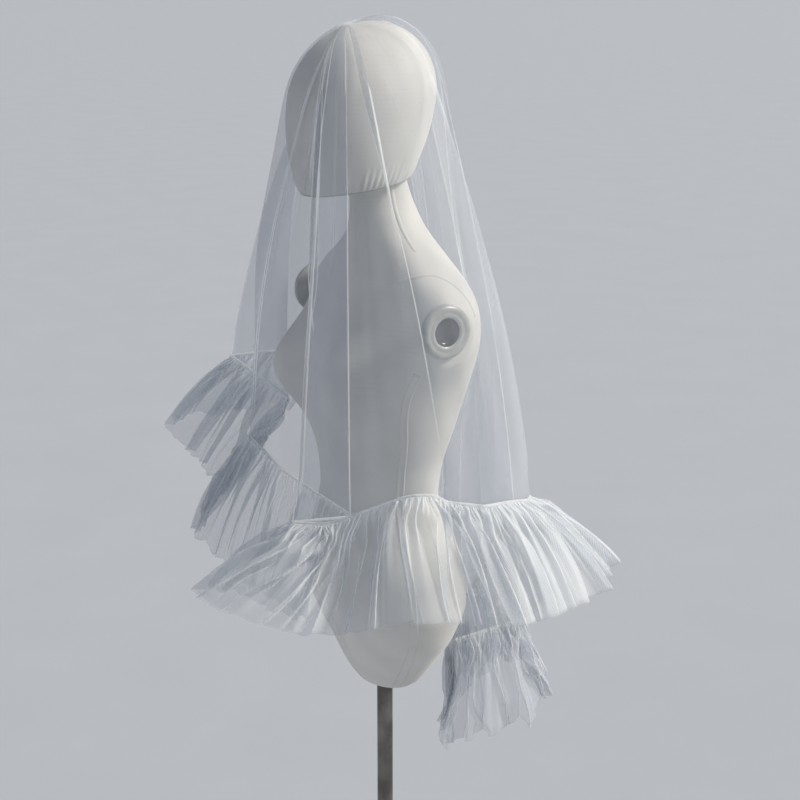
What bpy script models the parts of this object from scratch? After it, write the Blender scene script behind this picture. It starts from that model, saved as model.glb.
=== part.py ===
"""Bridal veil on a dress form.

A round drop veil of soft tulle covers an egg-shaped head all round, falls in deep flutes
to about the waist and lower at the back, and is edged with one wide gathered ruffle.
It rests on a limbless dress form on a pole and a round base plate.

Metres, +Z up. The form faces -Y and its left side is +X. The origin is the centre of the
base plate's underside. A bearing is an angle about the pole: 0 is the front (-Y) and 90
is the form's left (+X).
"""
import math

import bmesh
import bpy
import numpy as np

# ---------------------------------------------------------------- driving dimensions
CLOTH = 0.001  # thickness of the veil's wall and of the ruffle's
SEAM_GAP = 0.0003  # space between pieces that are sewn or fixed together

HEAD_BOTTOM = 1.457  # seam between head and neck
HEAD_CENTRE_Z = 1.570  # height where the head is widest
HEAD_CENTRE_Y = -0.030
HEAD_LEAN = 0.15  # how far the head's sections move forward per metre down
HEAD_HALF_WIDTH = 0.078
HEAD_HALF_DEPTH = 0.094
HEAD_UP = 0.092  # from the widest section to the top
HEAD_DOWN = 0.150  # half-axis of the lower part, cut off by the neck seam
HEAD_RINGS = 15
HEAD_SIDES = 32
HEAD_TOP_LATITUDE = math.radians(84)  # the head's topmost ring of points

BUST_OUT = 0.052  # how far each side of the bust stands out of the ribs
BUST_X = 0.070
BUST_Z = 1.238
BUST_SPREAD_X = 0.052
BUST_SPREAD_Z = 0.062
BUST_ROUND = 0.6  # how fast the bust fades towards the sides
TORSO_SIDES = 40
ARM_FACE_X = 0.158  # the shoulders are cut off flat here for the arm rings
ARM_Y = -0.010
ARM_Z = 1.309
ARM_RING_RADIUS = 0.033
ARM_HOLE_RADIUS = 0.015
ARM_RING_DEPTH = 0.010
ARM_RING_STEPS = 24

POLE_RADIUS = 0.0105
POLE_TOP = 0.8007
BASE_RADIUS = 0.165
BASE_EDGE = 0.008
BASE_HUB_RADIUS = 0.022
BASE_HUB_TOP = 0.045
POLE_SIDES = 24
BASE_STEPS = 40

PEAK_X = 0.0  # the point on top of the head where all the folds start
PEAK_Y = -0.052
HEAD_CLEAR = 0.0045  # middle of the cloth above the head's surface
FORM_CLEAR = 0.015  # the same beside the torso, at the points of the panel
BOW = 0.022  # how far the hanging cloth bows outward half-way down
CREASE_REACH = 0.014  # how far a rounded crease reaches along the wall on each side
CREASE_SHARE = 0.3  # and the largest share of the wall that it may take
WALL_STEP = 0.065  # longest flat stretch of the hem without a point of its own
WALL_TURN = math.radians(11)  # widest sector of the panel, seen from the peak, without one
PANEL_RINGS = (0.03, 0.06, 0.095, 0.13, 0.17, 0.215, 0.27, 0.34, 0.43, 0.54, 0.66, 0.78, 0.89, 1.0)
CROWN_RING = 4  # the crown ends at this ring
HEAD_STEPS = 60  # points on a thread of the panel where it lies over the head
HEAD_FIRST = 0.02  # angle down from the top at the first and at the last of them
HEAD_LAST = 0.72 * math.pi
LEAST_RUN = 0.002  # such points nearer to the peak than this are left out
HALVINGS = 40  # of the span in which the peak's height is looked for

RUFFLE_WIDTH = 0.143
RUFFLE_WAVES = 112
RUFFLE_MARGIN = 0.015  # least space that the ruffle's middle keeps to itself
ROOM_STEPS = 4  # steps in which the ruffle could use up the space ahead of it
SIDE_SLACK = 0.05  # share by which a side counts as longer where a row looks ahead
LEAST_FALL = 0.45  # of each step's length, however far it reaches outward
WAVE_POINTS = 3  # points round the edge for each wave
RUFFLE_ROWS = (0.0, 0.34, 0.68, 1.0)  # share of the ruffle's width at each row
WAVE_AT_SEAM = 0.0010
WAVE_AT_EDGE = 0.0110
WAVE_UNEVEN = 0.2  # share by which the waves differ in height
WAVE_BEATS = (0.37, 0.11)  # the two slow turns, in radians a point, that make them differ
WAVE_SLOPE = 1.3  # steepest wave, as height over the free space between its points
WAVE_ROOM = 0.13  # most of the free space beside the ruffle that a wave may take
FLARE_STEPS = 24
PROFILE_AT_SEAM = 1.45  # the flare there, times the mean flare in HEM: the ruffle is puffed
PROFILE_AT_EDGE = 0.55
VALLEY_REACH = 4  # points on each side that show how deep in a valley a point lies
VALLEY_LOSS = 2.2  # share of a wave's height that such a depth takes away
NEARBY = 3  # points on each side that share their room
CROWD_LIMIT = 1.3  # points of a row nearer than this many even steps are smoothed apart
CROWD_PASSES = 3
SLIDE_PASSES = 7
FIRST_JOIN = 2  # the wave at which the first stretch of the ruffle starts
SEAM_ROOM = 0.002  # free space beside the ruffle at its seam
SEAM_DROP = 0.0018  # the ruffle starts this far below the panel, clear where the edge is steep
JOIN_GAP = 0.0012  # between two stretches of the ruffle, whose ends meet at an angle

# Sections of the torso, from the neck seam down.
TORSO = (
    # height, half_width, front_depth, back_depth
    (1.4567, 0.037, 0.045, 0.031),
    (1.4400, 0.039, 0.043, 0.038),
    (1.4140, 0.052, 0.041, 0.050),
    (1.3950, 0.074, 0.041, 0.061),
    (1.3780, 0.100, 0.042, 0.071),
    (1.3600, 0.130, 0.044, 0.080),
    (1.3450, 0.150, 0.046, 0.087),
    (1.3280, 0.163, 0.049, 0.093),
    (1.3090, 0.168, 0.055, 0.096),
    (1.2850, 0.166, 0.068, 0.098),
    (1.2600, 0.156, 0.080, 0.098),
    (1.2300, 0.140, 0.087, 0.095),
    (1.2000, 0.129, 0.086, 0.087),
    (1.1610, 0.118, 0.082, 0.074),
    (1.1210, 0.103, 0.079, 0.061),
    (1.0750, 0.096, 0.078, 0.055),
    (1.0300, 0.113, 0.085, 0.070),
    (0.9800, 0.138, 0.092, 0.089),
    (0.9300, 0.143, 0.088, 0.090),
    (0.8900, 0.127, 0.072, 0.072),
    (0.8600, 0.103, 0.058, 0.060),
    (0.8380, 0.084, 0.050, 0.051),
    (0.8200, 0.068, 0.042, 0.044),
    (0.8080, 0.050, 0.033, 0.035),
    (0.8010, 0.026, 0.021, 0.022),
)

# The panel's edge, in order round the form. A crest is an outward fold, a valley an
# inward one, and a wall a point on the cloth between them. Lift is how far the layer
# lies above the one under it, where the cloth is pleated on the head. Flare is how far
# the ruffle stands out from the plumb line there.
HEM = (
    # kind, bearing (deg), radius, height, lift, flare (deg)
    ("crest", -10.0, 0.180, 1.160, 0.0000, 32.0),
    ("wall", 20.5, 0.192, 1.140, 0.0000, 22.0),
    ("wall", 31.0, 0.190, 1.125, 0.0000, 20.0),
    ("valley", 49.5, 0.206, 1.100, 0.0015, 20.0),
    ("crest", 36.7, 0.273, 1.110, 0.0075, 68.0),
    ("wall", 46.0, 0.262, 1.108, 0.0080, 40.0),
    ("wall", 55.0, 0.262, 1.126, 0.0070, 32.0),
    ("crest", 65.0, 0.292, 1.154, 0.0050, 34.0),
    ("wall", 71.0, 0.290, 1.154, 0.0030, 34.0),
    ("valley", 74.5, 0.280, 1.140, 0.0020, 34.0),
    ("crest", 84.0, 0.280, 1.130, 0.0010, 36.0),
    ("wall", 95.0, 0.256, 1.120, 0.0000, 38.0),
    ("wall", 107.3, 0.234, 1.105, 0.0000, 44.0),
    ("crest", 122.0, 0.205, 1.090, 0.0000, 62.0),
    ("valley", 133.0, 0.150, 1.015, 0.0000, 24.0),
    ("wall", 145.0, 0.125, 0.940, 0.0000, 16.0),
    ("wall", 158.0, 0.108, 0.872, 0.0000, 10.0),
    ("wall", 168.0, 0.112, 0.844, 0.0000, 14.0),
    ("crest", 173.0, 0.222, 0.854, 0.0000, 24.0),
    ("valley", 184.0, 0.170, 0.848, 0.0000, 24.0),
    ("crest", 195.0, 0.245, 0.850, 0.0000, 30.0),
    ("valley", 205.0, 0.140, 0.875, 0.0000, 22.0),
    ("crest", 215.0, 0.215, 0.950, 0.0000, 32.0),
    ("valley", 225.0, 0.165, 1.030, 0.0000, 28.0),
    ("wall", 232.5, 0.212, 1.060, 0.0000, 34.0),
    ("crest", 238.0, 0.270, 1.090, 0.0000, 48.0),
    ("valley", 248.0, 0.215, 1.130, 0.0000, 30.0),
    ("crest", 262.0, 0.332, 1.180, 0.0000, 46.0),
    ("wall", 272.0, 0.318, 1.190, 0.0000, 38.0),
    ("crest", 282.0, 0.327, 1.190, 0.0000, 44.0),
    ("valley", 294.0, 0.158, 1.168, 0.0000, 34.0),
    ("wall", 311.0, 0.140, 1.158, 0.0000, 34.0),
    ("wall", 330.0, 0.145, 1.155, 0.0000, 38.0),
)

# Stretches of cloth: name, first and last row of HEM that it spans.
PANEL_STRETCHES = (
    # name, first_row, last_row
    ("veil_front", 31, 6),
    ("veil_left", 6, 12),
    ("veil_back", 12, 24),
    ("veil_right", 24, 31),
)
RUFFLE_STRETCHES = 8

FORM_COLOUR = (0.62, 0.60, 0.55, 1.0)
TULLE_COLOUR = (0.86, 0.88, 0.88, 1.0)
METAL_COLOUR = (0.42, 0.41, 0.39, 1.0)
RING_COLOUR = (0.72, 0.70, 0.64, 1.0)


# ---------------------------------------------------------------- helpers
def clear_scene():
    """Removes what the file holds, so that the part starts from nothing."""
    for old in list(bpy.data.objects):
        bpy.data.objects.remove(old, do_unlink=True)


def make_material(name, colour, roughness, metallic=0.0):
    material = bpy.data.materials.new(name)
    material.use_nodes = True
    shader = material.node_tree.nodes["Principled BSDF"]
    shader.inputs["Base Color"].default_value = colour
    shader.inputs["Roughness"].default_value = roughness
    shader.inputs["Metallic"].default_value = metallic
    return material


def add_object(name, points, faces, material, collection):
    """A mesh object from points and faces, with its faces turned outward."""
    mesh = bpy.data.meshes.new(name)
    mesh.from_pydata([tuple(map(float, p)) for p in points], [], faces)
    obj = bpy.data.objects.new(name, mesh)
    collection.objects.link(obj)
    mesh.materials.append(material)
    mesh.shade_smooth()
    return obj


def turn_outward(obj):
    work = bmesh.new()
    work.from_mesh(obj.data)
    bmesh.ops.recalc_face_normals(work, faces=work.faces)
    work.to_mesh(obj.data)
    work.free()


def grid_faces(rows, columns, closed):
    """Quads of a grid of points, and round to the first column where it is closed."""
    faces = []
    for row in range(rows - 1):
        for column in range(columns if closed else columns - 1):
            right = (column + 1) % columns
            low, high = row * columns, (row + 1) * columns
            faces.append((low + column, high + column, high + right, low + right))
    return faces


def loft(name, rings, material, collection):
    """A closed solid through rings of points, with a flat face at each end."""
    columns = len(rings[0])
    points = np.concatenate(rings)
    faces = grid_faces(len(rings), columns, closed=True)
    last = len(points) - columns
    faces.append(tuple(range(columns)))
    faces.append(tuple(last + i for i in reversed(range(columns))))
    obj = add_object(name, points, faces, material, collection)
    turn_outward(obj)
    return obj


def turned(name, profile, steps, material, collection):
    """A solid turned about its own Z axis from a profile of (radius, height) rows."""
    points = [(radius, 0.0, height) for radius, height in profile]
    mesh = bpy.data.meshes.new(name)
    mesh.from_pydata(points, [(i, i + 1) for i in range(len(points) - 1)], [])
    obj = bpy.data.objects.new(name, mesh)
    collection.objects.link(obj)
    mesh.materials.append(material)
    screw = obj.modifiers.new("turn", "SCREW")
    screw.steps = steps
    screw.render_steps = steps
    screw.use_merge_vertices = True
    screw.merge_threshold = 0.00005
    screw.use_smooth_shade = True
    return obj


def around(sides):
    """The angles of a ring of points."""
    return np.linspace(0, 2 * math.pi, sides, endpoint=False)


def plan(bearing, radius):
    """The place in plan of a bearing in degrees and a radius."""
    angle = math.radians(bearing)
    return np.array((radius * math.sin(angle), -radius * math.cos(angle)))


# ---------------------------------------------------------------- the dress form
def torso_row(height):
    """Half width, front depth and back depth of the torso at a height."""
    table = np.array(TORSO[::-1])
    return tuple(np.interp(height, table[:, 0], table[:, i]) for i in (1, 2, 3))


def bust(x, height):
    """How far the bust stands forward of the ribs."""
    across = (abs(x) - BUST_X) / BUST_SPREAD_X
    up = (height - BUST_Z) / BUST_SPREAD_Z
    return BUST_OUT * math.exp(-across * across - up * up)


def torso_point(height, angle):
    half_width, front, back = torso_row(height)
    x = half_width * math.cos(angle)
    x = max(-ARM_FACE_X, min(ARM_FACE_X, x))
    side = math.sin(angle)
    if side < 0:
        y = side * front - bust(x, height) * (-side) ** BUST_ROUND
    else:
        y = side * back
    return (x, y, height)


def push_off_torso(point, clear):
    """Moves a point of the cloth out to where it clears the torso."""
    x, y, height = point
    if height > TORSO[0][0] or height < TORSO[-1][0]:
        return point
    half_width, front, back = torso_row(height)
    half_width = min(half_width, ARM_FACE_X + ARM_RING_DEPTH) + clear
    depth = (front + bust(x, height) if y < 0 else back) + clear
    inside = math.hypot(x / half_width, y / depth)
    if inside >= 1.0 or inside == 0.0:
        return point
    return np.array((x / inside, y / inside, height))


def head_section(height, clear=0.0):
    """Half width, half depth and middle of the head at a height."""
    reach = (HEAD_UP if height > HEAD_CENTRE_Z else HEAD_DOWN) + clear
    share = max(0.0, 1.0 - ((height - HEAD_CENTRE_Z) / reach) ** 2) ** 0.5
    middle = HEAD_CENTRE_Y - HEAD_LEAN * (HEAD_CENTRE_Z - height)
    return (HEAD_HALF_WIDTH + clear) * share, (HEAD_HALF_DEPTH + clear) * share, middle


def build_head(material, collection):
    rings = []
    low = math.asin((HEAD_CENTRE_Z - HEAD_BOTTOM) / HEAD_DOWN)
    for latitude in np.linspace(-low, HEAD_TOP_LATITUDE, HEAD_RINGS):
        reach = HEAD_UP if latitude > 0 else HEAD_DOWN
        height = HEAD_CENTRE_Z + reach * math.sin(latitude)
        width, depth, middle = head_section(height)
        rings.append([
            (width * math.cos(a), middle + depth * math.sin(a), height)
            for a in around(HEAD_SIDES)
        ])
    return loft("form_head", rings, material, collection)


def build_torso(material, collection):
    rings = [[torso_point(row[0], a) for a in around(TORSO_SIDES)] for row in TORSO]
    return loft("form_torso", rings, material, collection)


def build_arm_ring(name, side, material, collection):
    """A turned ring with a round recess, which closes the armhole on one side."""
    profile = (
        # radius, height
        (0.0, 0.003),
        (ARM_HOLE_RADIUS, 0.003),
        (ARM_HOLE_RADIUS + 0.001, ARM_RING_DEPTH - 0.002),
        (ARM_HOLE_RADIUS + 0.005, ARM_RING_DEPTH),
        (ARM_RING_RADIUS - 0.006, ARM_RING_DEPTH),
        (ARM_RING_RADIUS - 0.001, ARM_RING_DEPTH - 0.003),
        (ARM_RING_RADIUS, 0.003),
        (ARM_RING_RADIUS - 0.001, 0.0),
        (0.0, 0.0),
    )
    ring = turned(name, profile, ARM_RING_STEPS, material, collection)
    ring.location = (side * (ARM_FACE_X + SEAM_GAP), ARM_Y, ARM_Z)
    ring.rotation_euler = (0.0, side * math.pi / 2, 0.0)
    return ring


def build_stand(material, collection):
    bpy.ops.mesh.primitive_cylinder_add(
        vertices=POLE_SIDES, radius=POLE_RADIUS, depth=POLE_TOP - BASE_HUB_TOP - 2 * SEAM_GAP
    )
    pole = bpy.context.active_object
    pole.name = "form_pole"
    pole.location = (0.0, 0.0, (POLE_TOP + BASE_HUB_TOP) / 2)
    pole.data.materials.append(material)
    pole.data.shade_smooth()
    pole.data.set_sharp_from_angle(angle=math.radians(40))
    for old in list(pole.users_collection):
        old.objects.unlink(pole)
    collection.objects.link(pole)
    profile = (
        # radius, height
        (0.0, BASE_HUB_TOP),
        (BASE_HUB_RADIUS - 0.003, BASE_HUB_TOP),
        (BASE_HUB_RADIUS, BASE_HUB_TOP - 0.003),
        (BASE_HUB_RADIUS, 0.024),
        (BASE_HUB_RADIUS + 0.012, 0.017),
        (BASE_RADIUS * 0.55, 0.013),
        (BASE_RADIUS - 0.004, BASE_EDGE),
        (BASE_RADIUS, BASE_EDGE - 0.003),
        (BASE_RADIUS, 0.0),
        (0.0, 0.0),
    )
    turned("stand_base", profile, BASE_STEPS, material, collection)


# ---------------------------------------------------------------- the veil's panel
def hem_columns():
    """The panel's edge, as one row for each point round it, and its HEM row's number.

    The columns are x, y, height, lift and flare.
    """
    rows = [
        (kind, np.array((*plan(bearing, radius), height, lift, math.radians(flare))))
        for kind, bearing, radius, height, lift, flare in HEM
    ]
    points, sources = [], []
    for i, (kind, here) in enumerate(rows):
        before, after = rows[i - 1][1], rows[(i + 1) % len(rows)][1]
        start = here
        if kind == "wall":
            points.append(here)
        else:
            left = towards(here, before, CREASE_REACH)
            start = towards(here, after, CREASE_REACH)
            tip = (left + 2 * here + start) / 4
            points += [left, tip, start]
        length = np.linalg.norm((after - start)[:3])
        extra = int(max(length / WALL_STEP, turn_from_peak(start, after) / WALL_TURN))
        for n in range(1, extra + 1):
            points.append(start + (after - start) * n / (extra + 1))
        sources += [i] * (len(points) - len(sources))
    return np.array(points), sources


def towards(here, other, distance):
    """A row of the edge a little way towards another."""
    share = min(CREASE_SHARE, distance / np.linalg.norm((other - here)[:3]))
    return here + (other - here) * share


def turn_from_peak(place, other):
    """The angle in plan between two places, seen from the peak."""
    first = math.atan2(place[1] - PEAK_Y, place[0] - PEAK_X)
    second = math.atan2(other[1] - PEAK_Y, other[0] - PEAK_X)
    return abs((second - first + math.pi) % (2 * math.pi) - math.pi)


def over_head(direction, clear):
    """Points over the head from the peak along one direction, as (run, height).

    Each is where a level line from the peak leaves the head's oval section there.
    """
    points = []
    for angle in np.linspace(HEAD_FIRST, HEAD_LAST, HEAD_STEPS):
        height = HEAD_CENTRE_Z + (HEAD_UP + clear) * math.cos(angle)
        width, depth, middle = head_section(height, clear)
        from_x, from_y = PEAK_X / width, (PEAK_Y - middle) / depth
        to_x, to_y = direction[0] / width, direction[1] / depth
        square = to_x * to_x + to_y * to_y
        half = from_x * to_x + from_y * to_y
        under = half * half - square * (from_x * from_x + from_y * from_y - 1.0)
        run = (math.sqrt(max(under, 0.0)) - half) / square
        if under > 0 and run > LEAST_RUN:
            points.append((run, height))
    return np.array(points)


def peak_height(clear):
    """Height of the cloth at the peak."""
    low, high = HEAD_CENTRE_Z, HEAD_CENTRE_Z + HEAD_UP + clear
    for _ in range(HALVINGS):
        middle_height = (low + high) / 2
        width, depth, middle = head_section(middle_height, clear)
        if depth > 0 and abs(PEAK_Y - middle) < depth:
            low = middle_height
        else:
            high = middle_height
    return low


def hanging_line(edge, lift):
    """One thread of the panel from the peak to its edge: over the head, then straight."""
    clear = HEAD_CLEAR + lift
    peak = np.array((PEAK_X, PEAK_Y))
    away = edge[:2] - peak
    far = np.linalg.norm(away)
    direction = away / far
    surface = over_head(direction, clear)
    slope = np.arctan2(surface[:, 1] - edge[2], far - surface[:, 0])
    leave = int(np.argmax(slope))
    line = [(0.0, peak_height(clear))] + [tuple(p) for p in surface[: leave + 1]]
    line.append((far, edge[2]))
    line = np.array(line)
    along = np.concatenate(([0.0], np.cumsum(np.hypot(*np.diff(line, axis=0).T))))
    points = []
    for share in PANEL_RINGS:
        want = share * along[-1]
        hanging = max(0.0, (want - along[-2]) / (along[-1] - along[-2]))
        run = np.interp(want, along, line[:, 0]) + BOW * math.sin(math.pi * hanging)
        height = np.interp(want, along, line[:, 1])
        point = np.array((*(peak + direction * run), height))
        if share < 1.0:
            point = push_off_torso(point, FORM_CLEAR + lift)
        points.append(point)
    return np.array(points)


def build_panel(material, collection):
    """The oval panel: a crown over the head and four stretches that hang from it."""
    edge, sources = hem_columns()
    count = len(edge)
    lines = np.array([hanging_line(row[:3], row[3]) for row in edge])

    ring = lines[:, : CROWN_RING + 1]
    tip = np.array((PEAK_X, PEAK_Y, peak_height(HEAD_CLEAR)))
    points = np.concatenate([ring[:, k] for k in range(CROWN_RING + 1)] + [[tip]])
    faces = grid_faces(CROWN_RING + 1, count, closed=True)
    top = len(points) - 1
    faces += [(top, i, (i + 1) % count) for i in range(count)]
    add_cloth("veil_crown", points, faces, material, collection)

    for name, first_row, last_row in PANEL_STRETCHES:
        start = sources.index(first_row)
        stop = sources.index(last_row)
        if stop <= start:
            stop += count
        columns = [i % count for i in range(start, stop + 1)]
        piece = lines[columns, CROWN_RING:].copy()
        piece[:, 0] = step_towards(piece[:, 0], piece[:, 1], 2 * SEAM_GAP)
        piece[0] = step_towards(piece[0], piece[1], SEAM_GAP / 2)
        piece[-1] = step_towards(piece[-1], piece[-2], SEAM_GAP / 2)
        rows = piece.shape[1]
        points = np.concatenate([piece[:, k] for k in range(rows)])
        add_cloth(name, points, grid_faces(rows, len(columns), False), material, collection)
    return edge


def step_towards(points, others, distance):
    """Each point moved a fixed distance towards its partner."""
    away = others - points
    length = np.linalg.norm(away, axis=-1, keepdims=True)
    return points + away / length * distance


def add_cloth(name, points, faces, material, collection):
    """A sheet of cloth with its real thickness."""
    obj = add_object(name, points, faces, material, collection)
    wall = obj.modifiers.new("cloth", "SOLIDIFY")
    wall.thickness = CLOTH
    wall.offset = 0.0
    return obj


# ---------------------------------------------------------------- the ruffle
def along_edge(edge, count):
    """Evenly spaced rows along the closed polyline of the panel's edge."""
    closed = np.concatenate([edge, edge[:1]])
    lengths = np.linalg.norm(np.diff(closed[:, :3], axis=0), axis=1)
    lengths = np.concatenate(([0.0], np.cumsum(lengths)))
    wanted = np.linspace(0.0, lengths[-1], count, endpoint=False)
    return np.stack([np.interp(wanted, lengths, column) for column in closed.T], axis=1)


def outward(curve):
    """Unit vectors in plan, pointing away from the inside of a closed curve."""
    ahead = np.roll(curve, -1, axis=0) - np.roll(curve, 1, axis=0)
    normal = np.stack([ahead[:, 1], -ahead[:, 0]], axis=1)
    normal /= np.linalg.norm(normal, axis=1, keepdims=True) + 1e-9
    for _ in range(3):
        normal = normal + np.roll(normal, 1, axis=0) + np.roll(normal, -1, axis=0)
    return normal / (np.linalg.norm(normal, axis=1, keepdims=True) + 1e-9)


def even_spacing(curve, passes):
    """The same closed curve with its points slid along it towards even spacing."""
    closed = np.concatenate([curve, curve[:1]])
    lengths = np.concatenate(
        ([0.0], np.cumsum(np.linalg.norm(np.diff(closed, axis=0), axis=1)))
    )
    whole = lengths[-1]
    wanted = lengths[:-1].copy()
    for _ in range(passes):
        ahead = np.append(wanted[1:], wanted[0] + whole)
        behind = np.insert(wanted[:-1], 0, wanted[-1] - whole)
        wanted = 0.5 * wanted + 0.25 * (ahead + behind)
    return np.stack(
        [np.interp(wanted % whole, lengths, closed[:, i]) for i in range(2)], axis=1
    )


def point_spacing(curve):
    """Half of the distance between each point's two neighbours."""
    return np.linalg.norm(np.roll(curve, -1, axis=0) - np.roll(curve, 1, axis=0), axis=1) / 2


def openness(row):
    """1 where a row runs straight or turns outward, down to 0 deep in a valley."""
    curve = row[:, :2]
    middle = 0.5 * (np.roll(curve, -VALLEY_REACH, axis=0) + np.roll(curve, VALLEY_REACH, axis=0))
    hollow = ((middle - curve) * outward(curve)).sum(axis=1)
    depth = hollow / (VALLEY_REACH * point_spacing(row))
    return least_nearby(np.clip(1 - VALLEY_LOSS * depth, 0.0, 1.0))


def least_nearby(values):
    """The smallest value among each point and the ones within NEARBY of it."""
    return np.minimum.reduce([np.roll(values, k) for k in range(-NEARBY, NEARBY + 1)])


def room_ahead(curve, normal):
    """How far each point can move along its normal before it meets the curve again."""
    count = len(curve)
    start, side = curve, np.roll(curve, -1, axis=0) - curve
    across = start[None, :, :] - curve[:, None, :]
    turn = normal[:, None, 0] * side[None, :, 1] - normal[:, None, 1] * side[None, :, 0]
    turn = np.where(np.abs(turn) < 1e-12, 1e-12, turn)
    ahead = (across[..., 0] * side[None, :, 1] - across[..., 1] * side[None, :, 0]) / turn
    share = (across[..., 0] * normal[:, None, 1] - across[..., 1] * normal[:, None, 0]) / turn
    apart = np.abs(np.arange(count)[:, None] - np.arange(count)[None, :])
    apart = np.minimum(apart, count - apart)
    hit = (ahead > 0) & (share >= -SIDE_SLACK) & (share <= 1 + SIDE_SLACK) & (apart > 2)
    return np.where(hit, ahead, 1.0).min(axis=1)


def ruffle_rows(seam):
    """The ruffle's middle surface, row by row, before its waves are added."""
    flare = seam[:, 4]
    curve = seam[:, :2].copy()
    rows, rooms = [seam[:, :3].copy()], [np.full(len(seam), SEAM_ROOM)]
    height = seam[:, 2].copy()
    step = RUFFLE_WIDTH / FLARE_STEPS
    even = point_spacing(curve).mean()
    keep = {round(share * FLARE_STEPS) for share in RUFFLE_ROWS}
    for n in range(1, FLARE_STEPS + 1):
        normal = outward(curve)
        room = least_nearby(room_ahead(curve, normal))
        free = np.maximum(0.0, (room - RUFFLE_MARGIN) / ROOM_STEPS)
        turn = PROFILE_AT_SEAM + (PROFILE_AT_EDGE - PROFILE_AT_SEAM) * n / FLARE_STEPS
        reach = np.minimum(step * np.sin(np.minimum(flare * turn, math.pi / 2)), free)
        moved = curve + normal * reach[:, None]
        for _ in range(CROWD_PASSES):
            near = 0.5 * (np.roll(moved, 1, axis=0) + np.roll(moved, -1, axis=0))
            crowded = np.clip(CROWD_LIMIT - point_spacing(moved) / even, 0.0, 0.5)
            moved = moved + (near - moved) * crowded[:, None]
        moved = even_spacing(moved, passes=SLIDE_PASSES)
        run = np.linalg.norm(moved - curve, axis=1)
        fall = np.sqrt(np.maximum(step * step - run * run, (LEAST_FALL * step) ** 2))
        for _ in range(2):
            fall = 0.5 * fall + 0.25 * (np.roll(fall, 1) + np.roll(fall, -1))
        height = height - fall
        curve = moved
        if n in keep:
            rows.append(np.column_stack([curve, height]))
            rooms.append(room)
    return rows, rooms


def ruffle_lines(edge):
    """Every gather line of the ruffle, from the seam down to its free edge."""
    count = RUFFLE_WAVES * WAVE_POINTS
    seam = along_edge(edge, count)
    seam[:, 2] -= SEAM_DROP
    rows, rooms = ruffle_rows(seam)
    number = np.arange(count)
    first, second = WAVE_BEATS
    uneven = 1 - WAVE_UNEVEN + WAVE_UNEVEN * np.sin(number * first) * np.sin(number * second)
    wave = np.cos(2 * math.pi * number / WAVE_POINTS) * uneven
    waved = []
    for share, row, room in zip(RUFFLE_ROWS, rows, rooms):
        height = WAVE_AT_SEAM + (WAVE_AT_EDGE - WAVE_AT_SEAM) * share
        slack = np.maximum(0.0, least_nearby(point_spacing(row)) - 2 * CLOTH) * WAVE_SLOPE
        slack *= openness(row)
        height = np.minimum(height, np.minimum(slack, room * WAVE_ROOM))
        out = np.column_stack([outward(row[:, :2]), np.zeros(count)])
        waved.append(row + out * (wave * height)[:, None])
    return np.stack(waved, axis=1)


def build_ruffle(edge, material, collection):
    """The gathered ruffle, sewn under the panel's edge, in stretches."""
    lines = ruffle_lines(edge)
    count = len(lines)
    per = count // RUFFLE_STRETCHES
    first = FIRST_JOIN * WAVE_POINTS + 1
    for n in range(RUFFLE_STRETCHES):
        columns = [i % count for i in range(first + n * per, first + (n + 1) * per + 1)]
        piece = lines[columns].copy()
        piece[0] = step_towards(piece[0], piece[1], JOIN_GAP / 2)
        piece[-1] = step_towards(piece[-1], piece[-2], JOIN_GAP / 2)
        rows_of_piece = piece.shape[1]
        points = np.concatenate([piece[:, k] for k in range(rows_of_piece)])
        faces = grid_faces(rows_of_piece, len(columns), False)
        add_cloth(f"ruffle_{n + 1}", points, faces, material, collection)


# ---------------------------------------------------------------- the whole
def main():
    clear_scene()
    part = bpy.data.collections.new("bridal_veil_on_dress_form")
    bpy.context.scene.collection.children.link(part)
    cover = make_material("form_fabric", FORM_COLOUR, 0.9)
    tulle = make_material("tulle", TULLE_COLOUR, 0.7)
    metal = make_material("stand_metal", METAL_COLOUR, 0.4, 1.0)
    ring = make_material("arm_ring_plastic", RING_COLOUR, 0.5)
    build_head(cover, part)
    build_torso(cover, part)
    build_arm_ring("arm_ring_left", 1, ring, part)
    build_arm_ring("arm_ring_right", -1, ring, part)
    build_stand(metal, part)
    edge = build_panel(tulle, part)
    build_ruffle(edge, tulle, part)


main()
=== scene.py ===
"""Bridal veil on a dress form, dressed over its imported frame.

A round drop veil of soft tulle with a gathered ruffle, on a limbless dress form on a
pole. Metres, +Z up. The form faces -Y and its left side is +X. A bearing is an angle
about the pole in plan: 0 is the front (-Y) and 90 is the form's left (+X).
"""
import functools
import math

import bpy
import numpy as np
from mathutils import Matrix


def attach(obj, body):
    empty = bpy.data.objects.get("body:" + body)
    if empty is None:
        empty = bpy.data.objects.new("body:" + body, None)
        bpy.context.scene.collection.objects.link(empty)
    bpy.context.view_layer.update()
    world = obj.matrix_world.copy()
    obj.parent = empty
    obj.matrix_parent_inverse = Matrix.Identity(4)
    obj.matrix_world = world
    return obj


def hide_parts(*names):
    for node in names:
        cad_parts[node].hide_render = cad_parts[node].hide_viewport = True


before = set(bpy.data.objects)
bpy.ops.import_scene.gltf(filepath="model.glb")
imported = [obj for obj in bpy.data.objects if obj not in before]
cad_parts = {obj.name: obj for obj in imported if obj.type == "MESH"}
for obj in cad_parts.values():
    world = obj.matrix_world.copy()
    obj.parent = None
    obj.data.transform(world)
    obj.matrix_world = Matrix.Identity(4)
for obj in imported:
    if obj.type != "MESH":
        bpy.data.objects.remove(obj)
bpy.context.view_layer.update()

bl_info = {
    "name": "Bridal Veil on Dress Form",
    "version": (1, 0, 0),
    "blender": (4, 5, 0),
    "location": "3D View > Sidebar > Bridal Veil",
    "description": "Builds a ruffled tulle veil on a limbless dress form",
    "category": "Object",
}

MM = 0.001

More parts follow.
